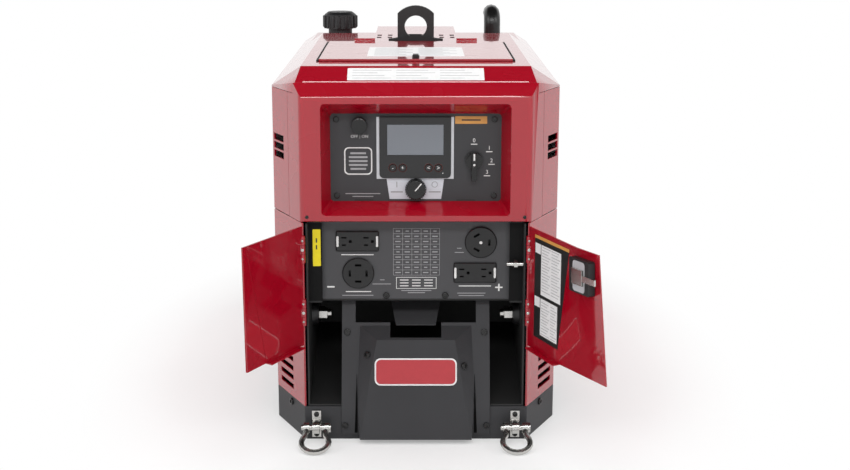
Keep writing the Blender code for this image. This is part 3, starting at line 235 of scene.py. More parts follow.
# %% World and floor materials
WORLD_FILL = 0.50
CEILING = 0.02
CEILING_START = 0.42
CEILING_STEEPNESS = 4.0
scene.world = scene.world or bpy.data.worlds.new("white_surround")
scene.world.use_nodes = True
sky = Graph(scene.world.node_tree)
sky.tree.nodes.clear()
seen_camera = sky.node("ShaderNodeLightPath", output="Is Camera Ray")
seen_gloss = sky.node("ShaderNodeLightPath", output="Is Glossy Ray")
seen_through = sky.node("ShaderNodeLightPath", output="Is Transmission Ray")
direction = sky.node("ShaderNodeTexCoord", output="Generated")
height = sky.node("ShaderNodeSeparateXYZ", output="Z", Vector=direction)
horizon = 1.0 - ((height - CEILING_START) * CEILING_STEEPNESS).clipped() * (1.0 - CEILING)
mirrored = (seen_gloss + seen_through).clipped()
lighting = 1.0 - (seen_camera + mirrored).clipped()
backdrop = sky.node("ShaderNodeBackground", Color=(1.0, 1.0, 1.0, 1.0),
                    Strength=seen_camera + mirrored * horizon + lighting * WORLD_FILL)
put(sky.tree.nodes.new("ShaderNodeOutputWorld").inputs["Surface"], backdrop)

SHADOW_REACH = (0.38, 0.60)
FADE_START = 1.0
FADE_LENGTH = 0.7
LEAST_WHITE = 0.35
floor_paint = Finish("studio_floor_white")
floor_paint.set(Base_Color=(0.92, 0.92, 0.92, 1.0), Roughness=0.7)
oval = floor_paint.node("ShaderNodeMapping", Vector=floor_paint.place(),
                        Scale=(1 / SHADOW_REACH[0], 1 / SHADOW_REACH[1], 1.0))
spread = floor_paint.node("ShaderNodeVectorMath", {"operation": "LENGTH"}, "Value", Vector=oval)
fade = ((spread - FADE_START) * (1.0 / FADE_LENGTH)).clipped(LEAST_WHITE)
seen_camera = floor_paint.node("ShaderNodeLightPath", output="Is Camera Ray")
seen_gloss = floor_paint.node("ShaderNodeLightPath", output="Is Glossy Ray")
shadowed = Wire(floor_paint.tree, floor_paint.shader.outputs[0])
plain_white = floor_paint.node("ShaderNodeEmission")
mixed = floor_paint.tree.nodes.new("ShaderNodeMixShader")
share = fade * (seen_camera + seen_gloss).clipped()
for socket, value in zip(mixed.inputs, (share, shadowed, plain_white)):
    put(socket, value)
surface = floor_paint.tree.nodes["Material Output"].inputs["Surface"]
put(surface, Wire(floor_paint.tree, mixed.outputs[0]))
floor.data.materials.append(floor_paint.material)
print("surround ready")

# %% [markdown]
# ## Finishes
# The red is a gloss powder coat: a deep pigment under a clear skin with a faint orange peel.
# White surroundings mirror in that skin, which turns faces towards the lamps a paler pink, so
# the skin matters as much as the pigment. The charcoal coat is satin with a fine grit.

# %% Paint and plastic finishes
SOFT_EDGE = 0.001


def shaded(tint, share):
    return [channel * share for channel in tint]


def inside_box(coat, low, high):
    """One inside a box and nothing outside, with a soft edge."""
    share = 1.0
    for axis, least, most in zip("XYZ", low, high):
        value = coat.node("ShaderNodeSeparateXYZ", output=axis, Vector=coat.place())
        share = share * ((value - least) * (1.0 / SOFT_EDGE)).clipped()
        share = share * ((most - value) * (1.0 / SOFT_EDGE)).clipped()
    return share


def red_gloss(name, tint, sheltered=None):
    """Gloss paint, with a thinner skin inside a sheltered box."""
    coat = Finish(name)
    cloud = coat.noise(9.0, 2.0)
    peel = coat.noise(420.0, 1.0)
    return coat.set(
        Base_Color=coat.ramp(cloud, shaded(tint, 0.93), tint),
        Roughness=cloud * 0.06 + 0.24,
        Specular_IOR_Level=0.08,
        Coat_Weight=1.0 - inside_box(coat, *sheltered) * 0.7 if sheltered else 1.0,
        Coat_Roughness=0.04,
        Coat_IOR=1.68,
        Normal=coat.bump(peel, 0.05, 0.0006))


def grained(name, tint, roughness, grain, strength, spread=0.15, shine=0.5):
    """A satin coat or moulded plastic with a fine grain."""
    coat = Finish(name)
    grit = coat.noise(grain, 3.0)
    cloud = coat.noise(14.0, 2.0)
    mottle = cloud * 0.6 + grit * 0.4
    return coat.set(
        Base_Color=coat.ramp(mottle, shaded(tint, 1 - spread), shaded(tint, 1 + spread), (0.1, 0.9)),
        Roughness=grit * 0.12 + (roughness - 0.06),
        Specular_IOR_Level=shine,
        Normal=coat.bump(grit, strength, 0.0008))


def bright_metal(name, tint, roughness, grain=(30.0, 260.0, 260.0), metallic=1.0):
    """Steel with fine drawn lines."""
    steel = Finish(name)
    turned = steel.node("ShaderNodeMapping", Vector=steel.place(), Scale=grain)
    lines = steel.node("ShaderNodeTexNoise", Vector=turned, Scale=4.0, Detail=4.0)
    return steel.set(
        Base_Color=steel.ramp(lines, shaded(tint, 0.82), tint, (0.1, 0.9)),
        Roughness=lines * 0.16 + (roughness - 0.08),
        Metallic=metallic,
        Normal=steel.bump(lines, 0.06, 0.0004))


def print_ink(name, tint, roughness=0.55):
    """Flat ink or a sticker, with a trace of unevenness."""
    ink = Finish(name)
    cloud = ink.noise(120.0, 2.0)
    colour = ink.ramp(cloud, shaded(tint, 0.94), tint, (0.3, 0.7))
    return ink.set(Base_Color=colour, Roughness=cloud * 0.08 + roughness)


def display_glass(name, dark, light):
    """The blank screen: a pale haze under plain glass."""
    glass = Finish(name)
    haze = glass.noise(6.0, 1.0)
    return glass.set(Base_Color=glass.ramp(haze, dark, light, (0.3, 0.7)), Roughness=haze * 0.05 + 0.22)


RED = (0.340, 0.0013, 0.0120)
red_paint = red_gloss("red_gloss_paint", RED)
door_red = red_gloss("door_red_paint", RED)
charcoal = grained("charcoal_powder_coat", (0.040, 0.040, 0.043), 0.48, 900.0, 0.10, shine=0.22)
bay_black = grained("bay_black_coat", (0.009, 0.009, 0.0092), 0.65, 900.0, 0.10)
column_black = grained("column_black_coat", (0.006, 0.006, 0.0062), 0.60, 900.0, 0.08, shine=0.12)
# The next black is painted shadow: it colours the strips laid beside the console cover's flanks.
gap_black = grained("gap_black", (0.003, 0.003, 0.003), 0.80, 900.0, 0.05, shine=0.05)
panel_grey = grained("output_panel_grey", (0.050, 0.050, 0.054), 0.5, 1100.0, 0.05, 0.08)
panel_dark = grained("control_panel_dark", (0.030, 0.030, 0.033), 0.5, 1100.0, 0.05, 0.08)
black_plastic = grained("black_moulded_plastic", (0.010, 0.010, 0.011), 0.42, 700.0, 0.12)
satin_black = grained("satin_black_plastic", (0.013, 0.013, 0.014), 0.30, 1500.0, 0.04)
gloss_black = grained("gloss_black_enamel", (0.006, 0.006, 0.006), 0.16, 500.0, 0.03)
pipe_black = grained("pipe_black_enamel", (0.006, 0.006, 0.006), 0.30, 500.0, 0.03)
jet_black = grained("jet_black_plastic", (0.0035, 0.0035, 0.0037), 0.27, 900.0, 0.05)
socket_black = grained("socket_black_plastic", (0.0055, 0.0055, 0.0060), 0.42, 900.0, 0.06)
rubber_black = grained("black_rubber", (0.009, 0.009, 0.009), 0.7, 600.0, 0.2)
eye_black = grained("lift_eye_black", (0.008, 0.008, 0.008), 0.5, 800.0, 0.15)
stainless = bright_metal("bright_stainless", (0.62, 0.61, 0.59), 0.24)
zinc_steel = bright_metal("zinc_plated_steel", (0.55, 0.55, 0.53), 0.34)
cast_alloy = grained("cast_alloy_rough", (0.34, 0.34, 0.35), 0.55, 300.0, 0.3)
lamination = grained("varnished_lamination", (0.09, 0.06, 0.04), 0.5, 500.0, 0.2)
tank_black = grained("tank_black_plastic", (0.014, 0.014, 0.015), 0.5, 500.0, 0.15)
white_ink = print_ink("white_print", (0.74, 0.74, 0.73))
dim_ink = print_ink("grey_print", (0.34, 0.34, 0.35))
label_white = print_ink("white_label", (0.80, 0.80, 0.80), 0.35)
label_line = print_ink("label_grey_line", (0.30, 0.30, 0.31))
pale_line = print_ink("label_pale_line", (0.50, 0.50, 0.51))
label_dark = print_ink("label_dark_border", (0.012, 0.012, 0.012), 0.4)
amber = print_ink("amber_strip", (0.62, 0.30, 0.07), 0.4)
yellow = print_ink("yellow_tag", (0.83, 0.68, 0.0), 0.4)
silver_trim = bright_metal("silver_trim", (0.62, 0.63, 0.66), 0.38, (200.0, 200.0, 20.0), 0.4)
pale_plate = bright_metal("pale_plate", (0.64, 0.66, 0.71), 0.45, (20.0, 200.0, 200.0), 0.2)
badge_red = print_ink("badge_red", (0.44, 0.035, 0.045), 0.35)
ring_red = print_ink("button_ring_red", (0.16, 0.03, 0.02), 0.4)
screen_glass = display_glass("display_glass", (0.165, 0.182, 0.205), (0.185, 0.203, 0.228))
print("finishes", len(bpy.data.materials))

# %% [markdown]
# ## Dressing the sheet metal
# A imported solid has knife-sharp edges, and real sheet is bent round a radius that catches a line
# of light. Each solid is copied, its loose triangles are welded, and its long sharp edges are
# rounded. The copy then stands for the solid.

# %% Copy a solid and round its edges
EDGE_ANGLE = math.radians(24)
LEAST_EDGE = 0.006
FLAT_WEIGHT = 90


def mode(wanted):
    bpy.ops.object.mode_set(mode=wanted)


def active(piece):
    """Make one object the only selected one, in object mode."""
    if bpy.context.mode != "OBJECT":
        mode("OBJECT")
    bpy.ops.object.select_all(action="DESELECT")
    piece.select_set(True)
    bpy.context.view_layer.objects.active = piece
    return piece


def edit_all(piece):
    """Open a piece for editing with all of it selected."""
    active(piece)
    mode("EDIT")
    bpy.ops.mesh.select_all(action="SELECT")


def pick_none(piece, kind):
    """Get ready to pick edges or faces, with nothing selected."""
    active(piece)
    mode("EDIT")
    bpy.ops.mesh.select_mode(type=kind)
    bpy.ops.mesh.select_all(action="DESELECT")
    mode("OBJECT")


def clean_copy(node):
    """A welded copy of a CAD node's mesh, in the same place."""
    piece = bpy.data.objects.new(node + "_dressed", frame["nodes"][node].data.copy())
    scene.collection.objects.link(piece)
    active(piece)
    bpy.ops.mesh.customdata_custom_splitnormals_clear()
    edit_all(piece)
    bpy.ops.mesh.remove_doubles(threshold=0.00002)
    mode("OBJECT")
    return piece


def pick_edges(piece, wanted):
    """Select the sharp edges whose two ends pass a test, and count them."""
    pick_none(piece, "EDGE")
    mesh = piece.data
    faces_at = {}
    for face in mesh.polygons:
        for key in face.edge_keys:
            faces_at.setdefault(key, []).append(face.normal.copy())
    count = 0
    for edge in mesh.edges:
        normals = faces_at.get(tuple(sorted(edge.vertices)), [])
        fold = normals[0].angle(normals[1], 0.0) if len(normals) == 2 else 0.0
        if fold > EDGE_ANGLE and wanted(*(mesh.vertices[end].co for end in edge.vertices)):
            edge.select = True
            count += 1
    return count


def pick_faces(piece, wanted):
    """Open a piece for editing with the faces selected whose centre and normal pass a test."""
    pick_none(piece, "FACE")
    for face in piece.data.polygons:
        face.select = bool(wanted(face.center, face.normal))
    mode("EDIT")


def round_edges(piece, width, wanted, segments=2):
    """Round the chosen edges with a bevel of several segments."""
    if pick_edges(piece, wanted):
        mode("EDIT")
        bpy.ops.mesh.bevel(offset=width, offset_type="OFFSET", segments=segments, profile=0.5,
                           affect="EDGES", clamp_overlap=True)
        mode("OBJECT")
    return piece


def smooth(piece, angle=35.0):
    """Shade a piece smooth, with normals that leave its large faces flat."""
    active(piece)
    bpy.ops.object.shade_smooth_by_angle(angle=math.radians(angle))
    weighted = piece.modifiers.new("flat faces", "WEIGHTED_NORMAL")
    weighted.mode = "FACE_AREA"
    weighted.weight = FLAT_WEIGHT
    weighted.keep_sharp = True
    bpy.ops.object.modifier_apply(modifier=weighted.name)
    return piece


def keep(piece, material, body=BODY):
    """Finish a new piece: its material and the body it rides on."""
    piece.data.materials.clear()
    piece.data.materials.append(material)
    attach(piece, body)
    return piece


def stand_in(piece, node, material):
    """Let a finished piece take a CAD node's place."""
    keep(piece, material, body_of[node])
    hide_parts(node)


def longer_than(length):
    return lambda a, b: (a - b).length > length


def dress(node, material, width, least=LEAST_EDGE, angle=35.0):
    """The plain way to dress a node: round every long sharp edge a little."""
    piece = clean_copy(node)
    if width:
        round_edges(piece, width, longer_than(least))
    stand_in(smooth(piece, angle), node, material)


print("dressing tools ready")

# %% [markdown]
# ## The front bezel
# The bezel is one pressing: its upright corners and its top edge are rolled to a generous radius,
# and the rim of the recess is rolled inwards. Its edges are picked by where they lie, the large
# radii first and the small ones after.

# %% Round the bezel
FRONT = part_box("base_tray")[0].y
ROLL_RADIUS = 0.008
RIM_RADIUS = 0.0045
RECESS_RADIUS = 0.006
BEZEL_EDGE = 0.0012
FLANGE = 0.010
TOP_BAND = 0.022
bezel_low, bezel_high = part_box("front_bezel")
bezel = clean_copy("front_bezel")


def near(value, target, room=0.0008):
    return abs(value - target) < room


corner_x = max(v.co.x for v in bezel.data.vertices if near(v.co.y, FRONT))
inner_x = corner_x - FLANGE


def in_front(a, b, room=0.0008):
    return near(a.y, FRONT, room) and near(b.y, FRONT, room)


def upright_corner(a, b):
    return in_front(a, b) and near(abs(a.x), corner_x) and near(abs(b.x), corner_x)


def rolled_top(a, b):
    return in_front(a, b) and min(a.z, b.z) > bezel_high.z - TOP_BAND and (a - b).length > 0.2


def recess_rim(a, b):
    level = bezel_low.z + 0.004 < min(a.z, b.z) and max(a.z, b.z) < bezel_high.z - TOP_BAND - 0.002
    inside = max(abs(a.x), abs(b.x)) < inner_x
    return in_front(a, b, 0.0012) and level and inside and (a - b).length > 0.1


def recess_corner(a, b):
    return abs(a.y - b.y) > 0.03 and max(abs(a.x), abs(b.x)) < inner_x


round_edges(bezel, RECESS_RADIUS, recess_corner, 3)
round_edges(bezel, ROLL_RADIUS, lambda a, b: upright_corner(a, b) or rolled_top(a, b), 5)
round_edges(bezel, RIM_RADIUS, recess_rim, 4)
round_edges(bezel, BEZEL_EDGE, longer_than(0.03))
smooth(bezel, 40.0)
RECESS_LOW = (-0.165, FRONT + 0.0015, 0.396)
RECESS_HIGH = (0.165, FRONT + 0.060, 0.592)
bezel_red = red_gloss("bezel_gloss_paint", RED, (RECESS_LOW, RECESS_HIGH))
stand_in(bezel, "front_bezel", bezel_red)
print("bezel faces", len(bezel.data.polygons))

# %% [markdown]
# ## Side panels, roof, lid and doors
# These are plain sheet, so a small radius runs along every edge. The roof's hips have a larger
# one, because they are bends and not cut edges.

# %% Dress the red sheet metal
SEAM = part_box("lower_side_left")[1].z
SEAM_RADIUS = 0.0013
PANEL_EDGE = 0.0010
HIP_RADIUS = 0.004
HIP_SIDE = 0.14
ROOF_EDGE = 0.0008
LID_EDGE = 0.0012
DOOR_EDGE = 0.0006


def at_seam(a, b):
    return near(a.z, SEAM, 0.0015) and near(b.z, SEAM, 0.0015) and (a - b).length > 0.02


for node in ("lower_side_left", "lower_side_right", "upper_side_left", "upper_side_right", "rear_panel"):
    panel = clean_copy(node)
    round_edges(panel, SEAM_RADIUS, at_seam)
    round_edges(panel, PANEL_EDGE, longer_than(0.010))
    stand_in(smooth(panel, 30.0), node, red_paint)

roof = clean_copy("roof_panel")
ROOF_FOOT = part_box("roof_panel")[0].z
ROOF_TOP = max(v.co.z for v in roof.data.vertices if v.co.y < FRONT + 0.12)


def roof_hip(a, b):
    sloping = min(a.z, b.z) > ROOF_FOOT + 0.004 and max(a.z, b.z) < ROOF_TOP + 0.001
    return sloping and max(abs(a.x), abs(b.x)) > HIP_SIDE and (a - b).length > 0.12


round_edges(roof, HIP_RADIUS, roof_hip, 3)
round_edges(roof, ROOF_EDGE, longer_than(0.02))
stand_in(smooth(roof), "roof_panel", red_paint)
dress("roof_lid", red_paint, LID_EDGE, 0.02, 30.0)
for node in ("left_door", "right_door"):
    dress(node, door_red, DOOR_EDGE, 0.02, 30.0)
print("sheet metal dressed")

# %% [markdown]
# ## Charcoal and black metalwork, knobs and inner parts
# The remaining solids keep their shapes and get rounded edges and a finish each. The machinery
# inside shows only through the rear grille and under the open lid.

# %% Dress the rest
DRESSES = {
    "base_tray": (charcoal, 0.0015), "console_bracket": (charcoal, 0.0008),
    "console_cover": (charcoal, 0.0016), "cable_bay": (bay_black, 0.0006),
    "lift_frame": (charcoal, 0.0015), "lift_bail": (eye_black, 0.0014), "bail_boot": (rubber_black, 0.0),
    "control_panel": (panel_dark, 0.0006), "output_panel": (panel_grey, 0.0006),
    "display_bezel": (satin_black, 0.0), "display_screen": (screen_glass, 0.0003),
    "select_knob": (jet_black, 0.0), "engine_switch": (jet_black, 0.0012),
    "choke_knob": (jet_black, 0.0), "fuel_cap": (black_plastic, 0.0), "muffler": (gloss_black, 0.0),
    "exhaust_pipe": (pipe_black, 0.0), "latch_case": (black_plastic, 0.0),
    "latch_lever": (stainless, 0.0008), "lid_latch": (black_plastic, 0.0006),
    "ground_stud": (stainless, 0.0), "fuel_tank": (tank_black, 0.0),
    "engine_block": (cast_alloy, 0.0), "crankshaft_fan": (cast_alloy, 0.0),
    "alternator_stator": (cast_alloy, 0.0), "alternator_rotor": (lamination, 0.0),
    "battery": (black_plastic, 0.0), "inverter_module": (cast_alloy, 0.0008),
}
HANDS = ("left", "right")
for hand in HANDS:
    DRESSES["duplex_receptacle_" + hand] = (socket_black, 0.0)
    DRESSES["round_receptacle_" + hand] = (socket_black, 0.0)
    DRESSES["weld_stud_" + hand] = (stainless, 0.0006)
    DRESSES["stud_insulator_" + hand] = (black_plastic, 0.0008)
    DRESSES["pad_eye_" + hand] = (stainless, 0.0012)
    DRESSES["shackle_bow_" + hand] = (stainless, 0.0)
    DRESSES["shackle_pin_" + hand] = (stainless, 0.0008)
    DRESSES["cylinder_" + hand] = (cast_alloy, 0.0)
    DRESSES[hand + "_hinge_pin"] = (red_paint, 0.0)
for number in range(1, 5):
    DRESSES["display_button_%d" % number] = (satin_black, 0.0)
for node, (material, edge_radius) in DRESSES.items():
    dress(node, material, edge_radius)
dressed = {piece.name: piece for piece in bpy.data.objects}
print("dressed", len(DRESSES))

# %% [markdown]
# ## Small parts by a few tools
# Screws, plates, printed rules and letters repeat all over the machine, so each is a short
# function. A plate is a cube at its size with its corners rounded. A screw is a cylinder whose
# top is inset and pressed in for the key. Ink stands a tenth of a millimetre proud, as screen
# print does, so that it never fights with the face under it.

# %% Plates, screws, rules and letters
INK = 0.00012
FRONT_FACING = Vector((0, -1, 0))
UP_FACING = Vector((0, 0, 1))
TO_FRONT = (math.pi / 2, 0, 0)


def middle(node):
    low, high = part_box(node)
    return (low + high) / 2


def applied(piece):
    active(piece)
    bpy.ops.object.transform_apply(location=True, rotation=True, scale=True)
    return piece


def slab(name, low, high, corner=0.0, rim=0.0, thin=1):
    """A plate between two corners, rounded across its thin axis."""
    low = Vector(low)
    size = Vector(high) - low
    bpy.ops.mesh.primitive_cube_add(size=1.0, location=low + size / 2)
    piece = named(name)
    piece.scale = size
    applied(piece)

    def across(a, b):
        return abs(a[thin] - b[thin]) > size[thin] * 0.9 and (a - b).length < size[thin] * 1.1

    def at_front(a, b):
        return near(a[thin], low[thin], 1e-5) and near(b[thin], low[thin], 1e-5)

    if corner:
        round_edges(piece, corner, across, 5)
    if rim:
        round_edges(piece, rim, at_front)
    return smooth(piece)


def bar(x, z, half_width, half_height):
    """The two corners of an upright box, from its middle."""
    return (x - half_width, z - half_height), (x + half_width, z + half_height)


def face_plate(name, box, face, proud=INK, corner=0.0, rim=0.0, sunk=0.0):
    """A plate on a face that looks forward, from the x and z of its two corners."""
    (x0, z0), (x1, z1) = box
    return slab(name, (x0, face - proud, z0), (x1, face + sunk, z1), corner, rim)


def joined(pieces, name):
    """Several pieces as one mesh."""
    active(pieces[0])
    for piece in pieces:
        piece.select_set(True)
    if len(pieces) > 1:
        bpy.ops.object.join()
    pieces[0].name = name
    return applied(pieces[0])


def rod(centre, radius, length, facing=FRONT_FACING, sides=32):
    """A round bar along the way that it faces."""
    bpy.ops.mesh.primitive_cylinder_add(vertices=sides, radius=radius, depth=length, location=centre,
                                        rotation=facing.to_track_quat("Z", "Y").to_euler())
    return applied(bpy.context.object)


def ring(name, centre, radius, thickness, sides):
    """A round wire on a face that looks forward."""
    bpy.ops.mesh.primitive_torus_add(location=centre, rotation=TO_FRONT, major_radius=radius,
                                     minor_radius=thickness, major_segments=32, minor_segments=sides)
    return smooth(applied(named(name)), 60.0)


def screw(place, facing, radius, height, sides=24):
    """A button-head screw that stands on a face, with a socket for its key."""
    piece = rod(place + facing * height / 2, radius, height, facing, sides)
    top = max(v.co.dot(facing) for v in piece.data.vertices)

    def on_top(centre, normal):
        return normal.dot(facing) > 0.99 and near(centre.dot(facing), top, 1e-5)

    pick_faces(piece, on_top)
    bpy.ops.mesh.bevel(offset=height * 0.45, segments=3, affect="EDGES")
    mode("OBJECT")
    pick_faces(piece, on_top)
    bpy.ops.mesh.inset(thickness=radius * 0.22)
    bpy.ops.mesh.extrude_region_move(TRANSFORM_OT_translate={"value": -facing * height * 0.6})
    mode("OBJECT")
    return smooth(piece)


def screws(name, places, size, material, body=BODY, sides=24):
    """Screws on faces that look forward, of one radius and height."""
    heads = [screw(Vector(place), FRONT_FACING, *size, sides) for place in places]
    keep(joined(heads, name), material, body)


def rules(name, boxes, face, material):
    """Printed bars on a face that looks forward."""
    made = []
    for (x0, z0), (x1, z1) in boxes:
        round_off = min(x1 - x0, z1 - z0) * 0.3
        made.append(face_plate(name, ((x0, z0), (x1, z1)), face, corner=round_off))
    keep(joined(made, name), material)


def chart(name, low, high, cells, face, material, line):
    """A ruled table: a grid whose edges become thin bars."""
    centre = ((low[0] + high[0]) / 2, face - INK, (low[1] + high[1]) / 2)
    bpy.ops.mesh.primitive_grid_add(x_subdivisions=cells[0], y_subdivisions=cells[1], size=1.0,
                                    location=centre, rotation=TO_FRONT)
    piece = named(name)
    piece.scale = (high[0] - low[0], high[1] - low[1], 1.0)
    applied(piece)
    wire = piece.modifiers.new("lines", "WIREFRAME")
    wire.thickness = line
    wire.use_even_offset = True
    wire.use_boundary = True
    bpy.ops.object.modifier_apply(modifier=wire.name)
    edit_all(piece)
    bpy.ops.transform.resize(value=(1, INK * 2 / line, 1), center_override=centre)
    mode("OBJECT")
    keep(piece, material)


def lettering(name, word, place, size, face, body=BODY):
    """White letters, numbers or signs on a face that looks forward."""
    bpy.ops.object.text_add(location=(0, 0, 0))
    text = named(name).data
    text.body = word
    text.size = size
    text.align_x = "CENTER"
    text.align_y = "CENTER"
    text.resolution_u = 4
    text.extrude = INK / 2
    bpy.ops.object.convert(target="MESH")
    piece = bpy.context.object
    piece.location = (place[0], face - INK / 2, place[1])
    piece.rotation_euler = TO_FRONT
    edit_all(applied(piece))
    bpy.ops.mesh.remove_doubles(threshold=0.000005)
    mode("OBJECT")
    keep(piece, white_ink, body)


def carve(piece, cutter):
    """Cut one piece out of another and throw the cutter away."""
    active(piece)
    cutting = piece.modifiers.new("cut", "BOOLEAN")
    cutting.operation = "DIFFERENCE"
    cutting.object = cutter
    bpy.ops.object.modifier_apply(modifier=cutting.name)
    bpy.data.objects.remove(cutter, do_unlink=True)


def narrow(piece, wanted, share, centre):
    """Make the chosen faces narrower about a centre."""
    pick_faces(piece, wanted)
    bpy.ops.transform.resize(value=(share, 1, 1), center_override=centre)
    mode("OBJECT")


print("small part tools ready")

# %% [markdown]
# ## The rubber boot
# The boot round the lift eye is thickest at the eye and thins towards its ends. Only its two end
# faces are pulled down, and proportional editing carries the middle along in a soft curve.

# %% Thin the boot's ends
BOOT_DROP = 0.0075
BOOT_BLEND = 0.030
boot = dressed["bail_boot_dressed"]
boot_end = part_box("bail_boot")[1].x * 0.86
pick_faces(boot, lambda centre, normal: normal.z > 0.3 and abs(centre.x) > boot_end)
bpy.ops.transform.translate(value=(0, 0, -BOOT_DROP), use_proportional_edit=True,
                            proportional_edit_falloff="SMOOTH", proportional_size=BOOT_BLEND)
mode("OBJECT")
smooth(boot)
print("boot ends thinned")

# %% [markdown]
# ## The control panel
# The display sits in a silver surround that shows as a slim band at its sides and in the two
# rounded corners below. Under it a pale plate marks the select knob. The legends are plain
# numbers and bars. The screws are black button heads.

# %% Dress the control panel
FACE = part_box("control_panel")[0].y
THROUGH = 0.01
FIT = 0.0002
TRIM = 0.005
TRIM_FOOT = 0.0015
TRIM_HEIGHT = 0.0016
display_low, display_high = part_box("display_bezel")
SCREEN_FACE = display_low.y
trim_box = ((display_low.x - TRIM, display_low.z - TRIM_FOOT), (display_high.x + TRIM, display_high.z))
opening = ((display_low.x - FIT, display_low.z - FIT), (display_high.x + FIT, display_high.z + 0.02))
trim = face_plate("display_surround", trim_box, FACE, TRIM_HEIGHT)
carve(trim, face_plate("cutter", opening, FACE, THROUGH, corner=0.0075, sunk=THROUGH))
keep(smooth(trim, 30.0), silver_trim)

PLATE_SIDES = (-0.050, 0.0485)
PLATE_THICKNESS = 0.0004
PLATE_TAPER = 0.90
STEM_RADIUS = 0.0075
knob = middle("select_knob")
plate_top = display_low.z - 0.0018
plate_foot = knob.z - 0.0185
plate_box = ((PLATE_SIDES[0], plate_foot), (PLATE_SIDES[1], plate_top))
plate = face_plate("select_plate", plate_box, FACE, PLATE_THICKNESS)
narrow(plate, lambda centre, normal: normal.z < -0.9, PLATE_TAPER, (0, FACE, plate_foot))
carve(plate, rod((knob.x, FACE, knob.z), STEM_RADIUS, THROUGH * 2))
keep(plate, pale_plate)

LEGENDS = (("0", 0.0, 0.034), ("1", 0.026, 0.021), ("2", 0.030, -0.001), ("3", 0.0225, -0.021))
LEGEND_SIZE = 0.0095
LEGEND_RULE = (0.0055, 0.0008)
LEGEND_DROP = 0.0064
switch_low, switch_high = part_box("engine_switch")
SWITCH_X = middle("engine_switch").x
SWITCH_Z = switch_high.z - 0.015
for word, across, up in LEGENDS:
    spot = (SWITCH_X + across, SWITCH_Z + up)
    lettering("switch_mark_" + word, word, spot, LEGEND_SIZE, FACE)
    rules("switch_rule_" + word, [bar(spot[0], spot[1] - LEGEND_DROP, *LEGEND_RULE)], FACE, white_ink)
CHOKE_SIZE = 0.0072
CHOKE_DROP = 0.0205
choke = middle("choke_knob")
lettering("choke_mark", "OFF | ON", (choke.x, choke.z - CHOKE_DROP), CHOKE_SIZE, FACE)

BADGE = (-0.0985, 0.485)
BADGE_HALF = 0.0240
BADGE_LINE = 0.0022
BADGE_STEP = 0.0068
badge_inner = BADGE_HALF - BADGE_LINE
outline = face_plate("panel_frame", bar(*BADGE, BADGE_HALF, BADGE_HALF), FACE, corner=0.008)
inner_box = bar(*BADGE, badge_inner, badge_inner)
carve(outline, face_plate("cutter", inner_box, FACE, THROUGH, corner=0.006, sunk=THROUGH))
keep(outline, white_ink)
bars = []
for row in range(5):
    half = 0.0135 if row in (0, 4) else 0.016
    bars.append(bar(BADGE[0], BADGE[1] + 0.0135 - row * BADGE_STEP, half, 0.0017))
rules("panel_frame_bars", bars, FACE, dim_ink)

keep(face_plate("amber_strip", ((0.067, 0.5495), (0.1215, 0.5625)), FACE, corner=0.0012), amber)
rules("amber_strip_line", [((0.0780, 0.5548), (0.1105, 0.5572))], FACE - INK, label_dark)

PLATE_FACE = FACE - PLATE_THICKNESS
MARK_X = 0.0325
MARK_Z = 0.4440
mark_ring = ring("select_plate_ring", (MARK_X, PLATE_FACE, MARK_Z), radius=0.0048, thickness=0.0005, sides=6)
keep(mark_ring, label_line)
captions = [bar(side * MARK_X, MARK_Z - 0.0130, 0.0105, 0.0011) for side in (-1, 1)]
captions.append(bar(-MARK_X, MARK_Z, 0.0008, 0.0050))
rules("select_plate_marks", captions, PLATE_FACE, label_line)
foot_lines = [bar(-0.091, 0.4279, 0.030, 0.0007), bar(-0.091, 0.4230, 0.018, 0.0007)]
rules("panel_foot_lines", foot_lines, FACE, dim_ink)
# The two dark bars are painted shade, standing in for the dark inside of the panel's bottom slots.
vent_shades = [bar(x, 0.4166, 0.016, 0.0014) for x in (-0.089, 0.086)]
rules("panel_bottom_slots", vent_shades, FACE, label_dark)
corners = [(x, FACE, z) for x in (-0.1355, 0.1340) for z in (0.4245, 0.5570)]
screws("panel_screws", corners, (0.0052, 0.0026), jet_black)
lamp = face_plate("display_lamp", bar(0.0461, 0.4648, 0.0008, 0.0008), SCREEN_FACE, corner=0.0005)
keep(lamp, white_ink)
print("control panel dressed, face at", round(FACE, 4))

# %% [markdown]
# ## Knobs and buttons
# A hand finds a knob by its ribs, so the select knob and the fuel cap get a ring of them: one rib
# is modelled and repeated round the axis in equal steps. White pointers are filled grooves, drawn
# as thin bars that ride on the knob. The marks on the buttons are plain signs.

# %% Ribs, pointers and button signs


def rib_ring(name, centre, facing, radius, rib, count, material, body):
    """Equal round ribs about an axis, each with a width and a length."""
    width, length = rib
    across = Vector((1, 0, 0))
    up = facing.cross(across)
    made = []
    for step in range(count):
        angle = math.tau * step / count
        spot = Vector(centre) + (across * math.cos(angle) + up * math.sin(angle)) * radius
        piece = rod(spot, width / 2, length, facing, 8)
        made.append(round_edges(piece, width * 0.2, lambda a, b: (a - b).length < width, 1))
    keep(smooth(joined(made, name), 50.0), material, body=body)


GROOVE = 0.0003
KNOB_RIB = (0.0022, 0.0095)
CAP_RIB = (0.0070, 0.026)
POINTER_TURN = math.radians(40)
knob_low, knob_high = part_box("select_knob")
knob_radius = (knob_high.x - knob_low.x) / 2
rib_ring("select_knob_ribs", (knob.x, knob_low.y + 0.0075, knob.z), FRONT_FACING, knob_radius - 0.0006,
         KNOB_RIB, 28, jet_black, "select_knob")
pointer_box = ((knob.x - 0.0009, knob.z - 0.002), (knob.x + 0.0009, knob.z + knob_radius - 0.0025))
pointer = face_plate("select_knob_pointer", pointer_box, knob_low.y, corner=0.0008, sunk=GROOVE)
turn = Matrix.Translation((knob.x, 0, knob.z)) @ Matrix.Rotation(POINTER_TURN, 4, "Y")
pointer.matrix_world = turn @ Matrix.Translation((-knob.x, 0, -knob.z))
keep(applied(pointer), white_ink, body="select_knob")

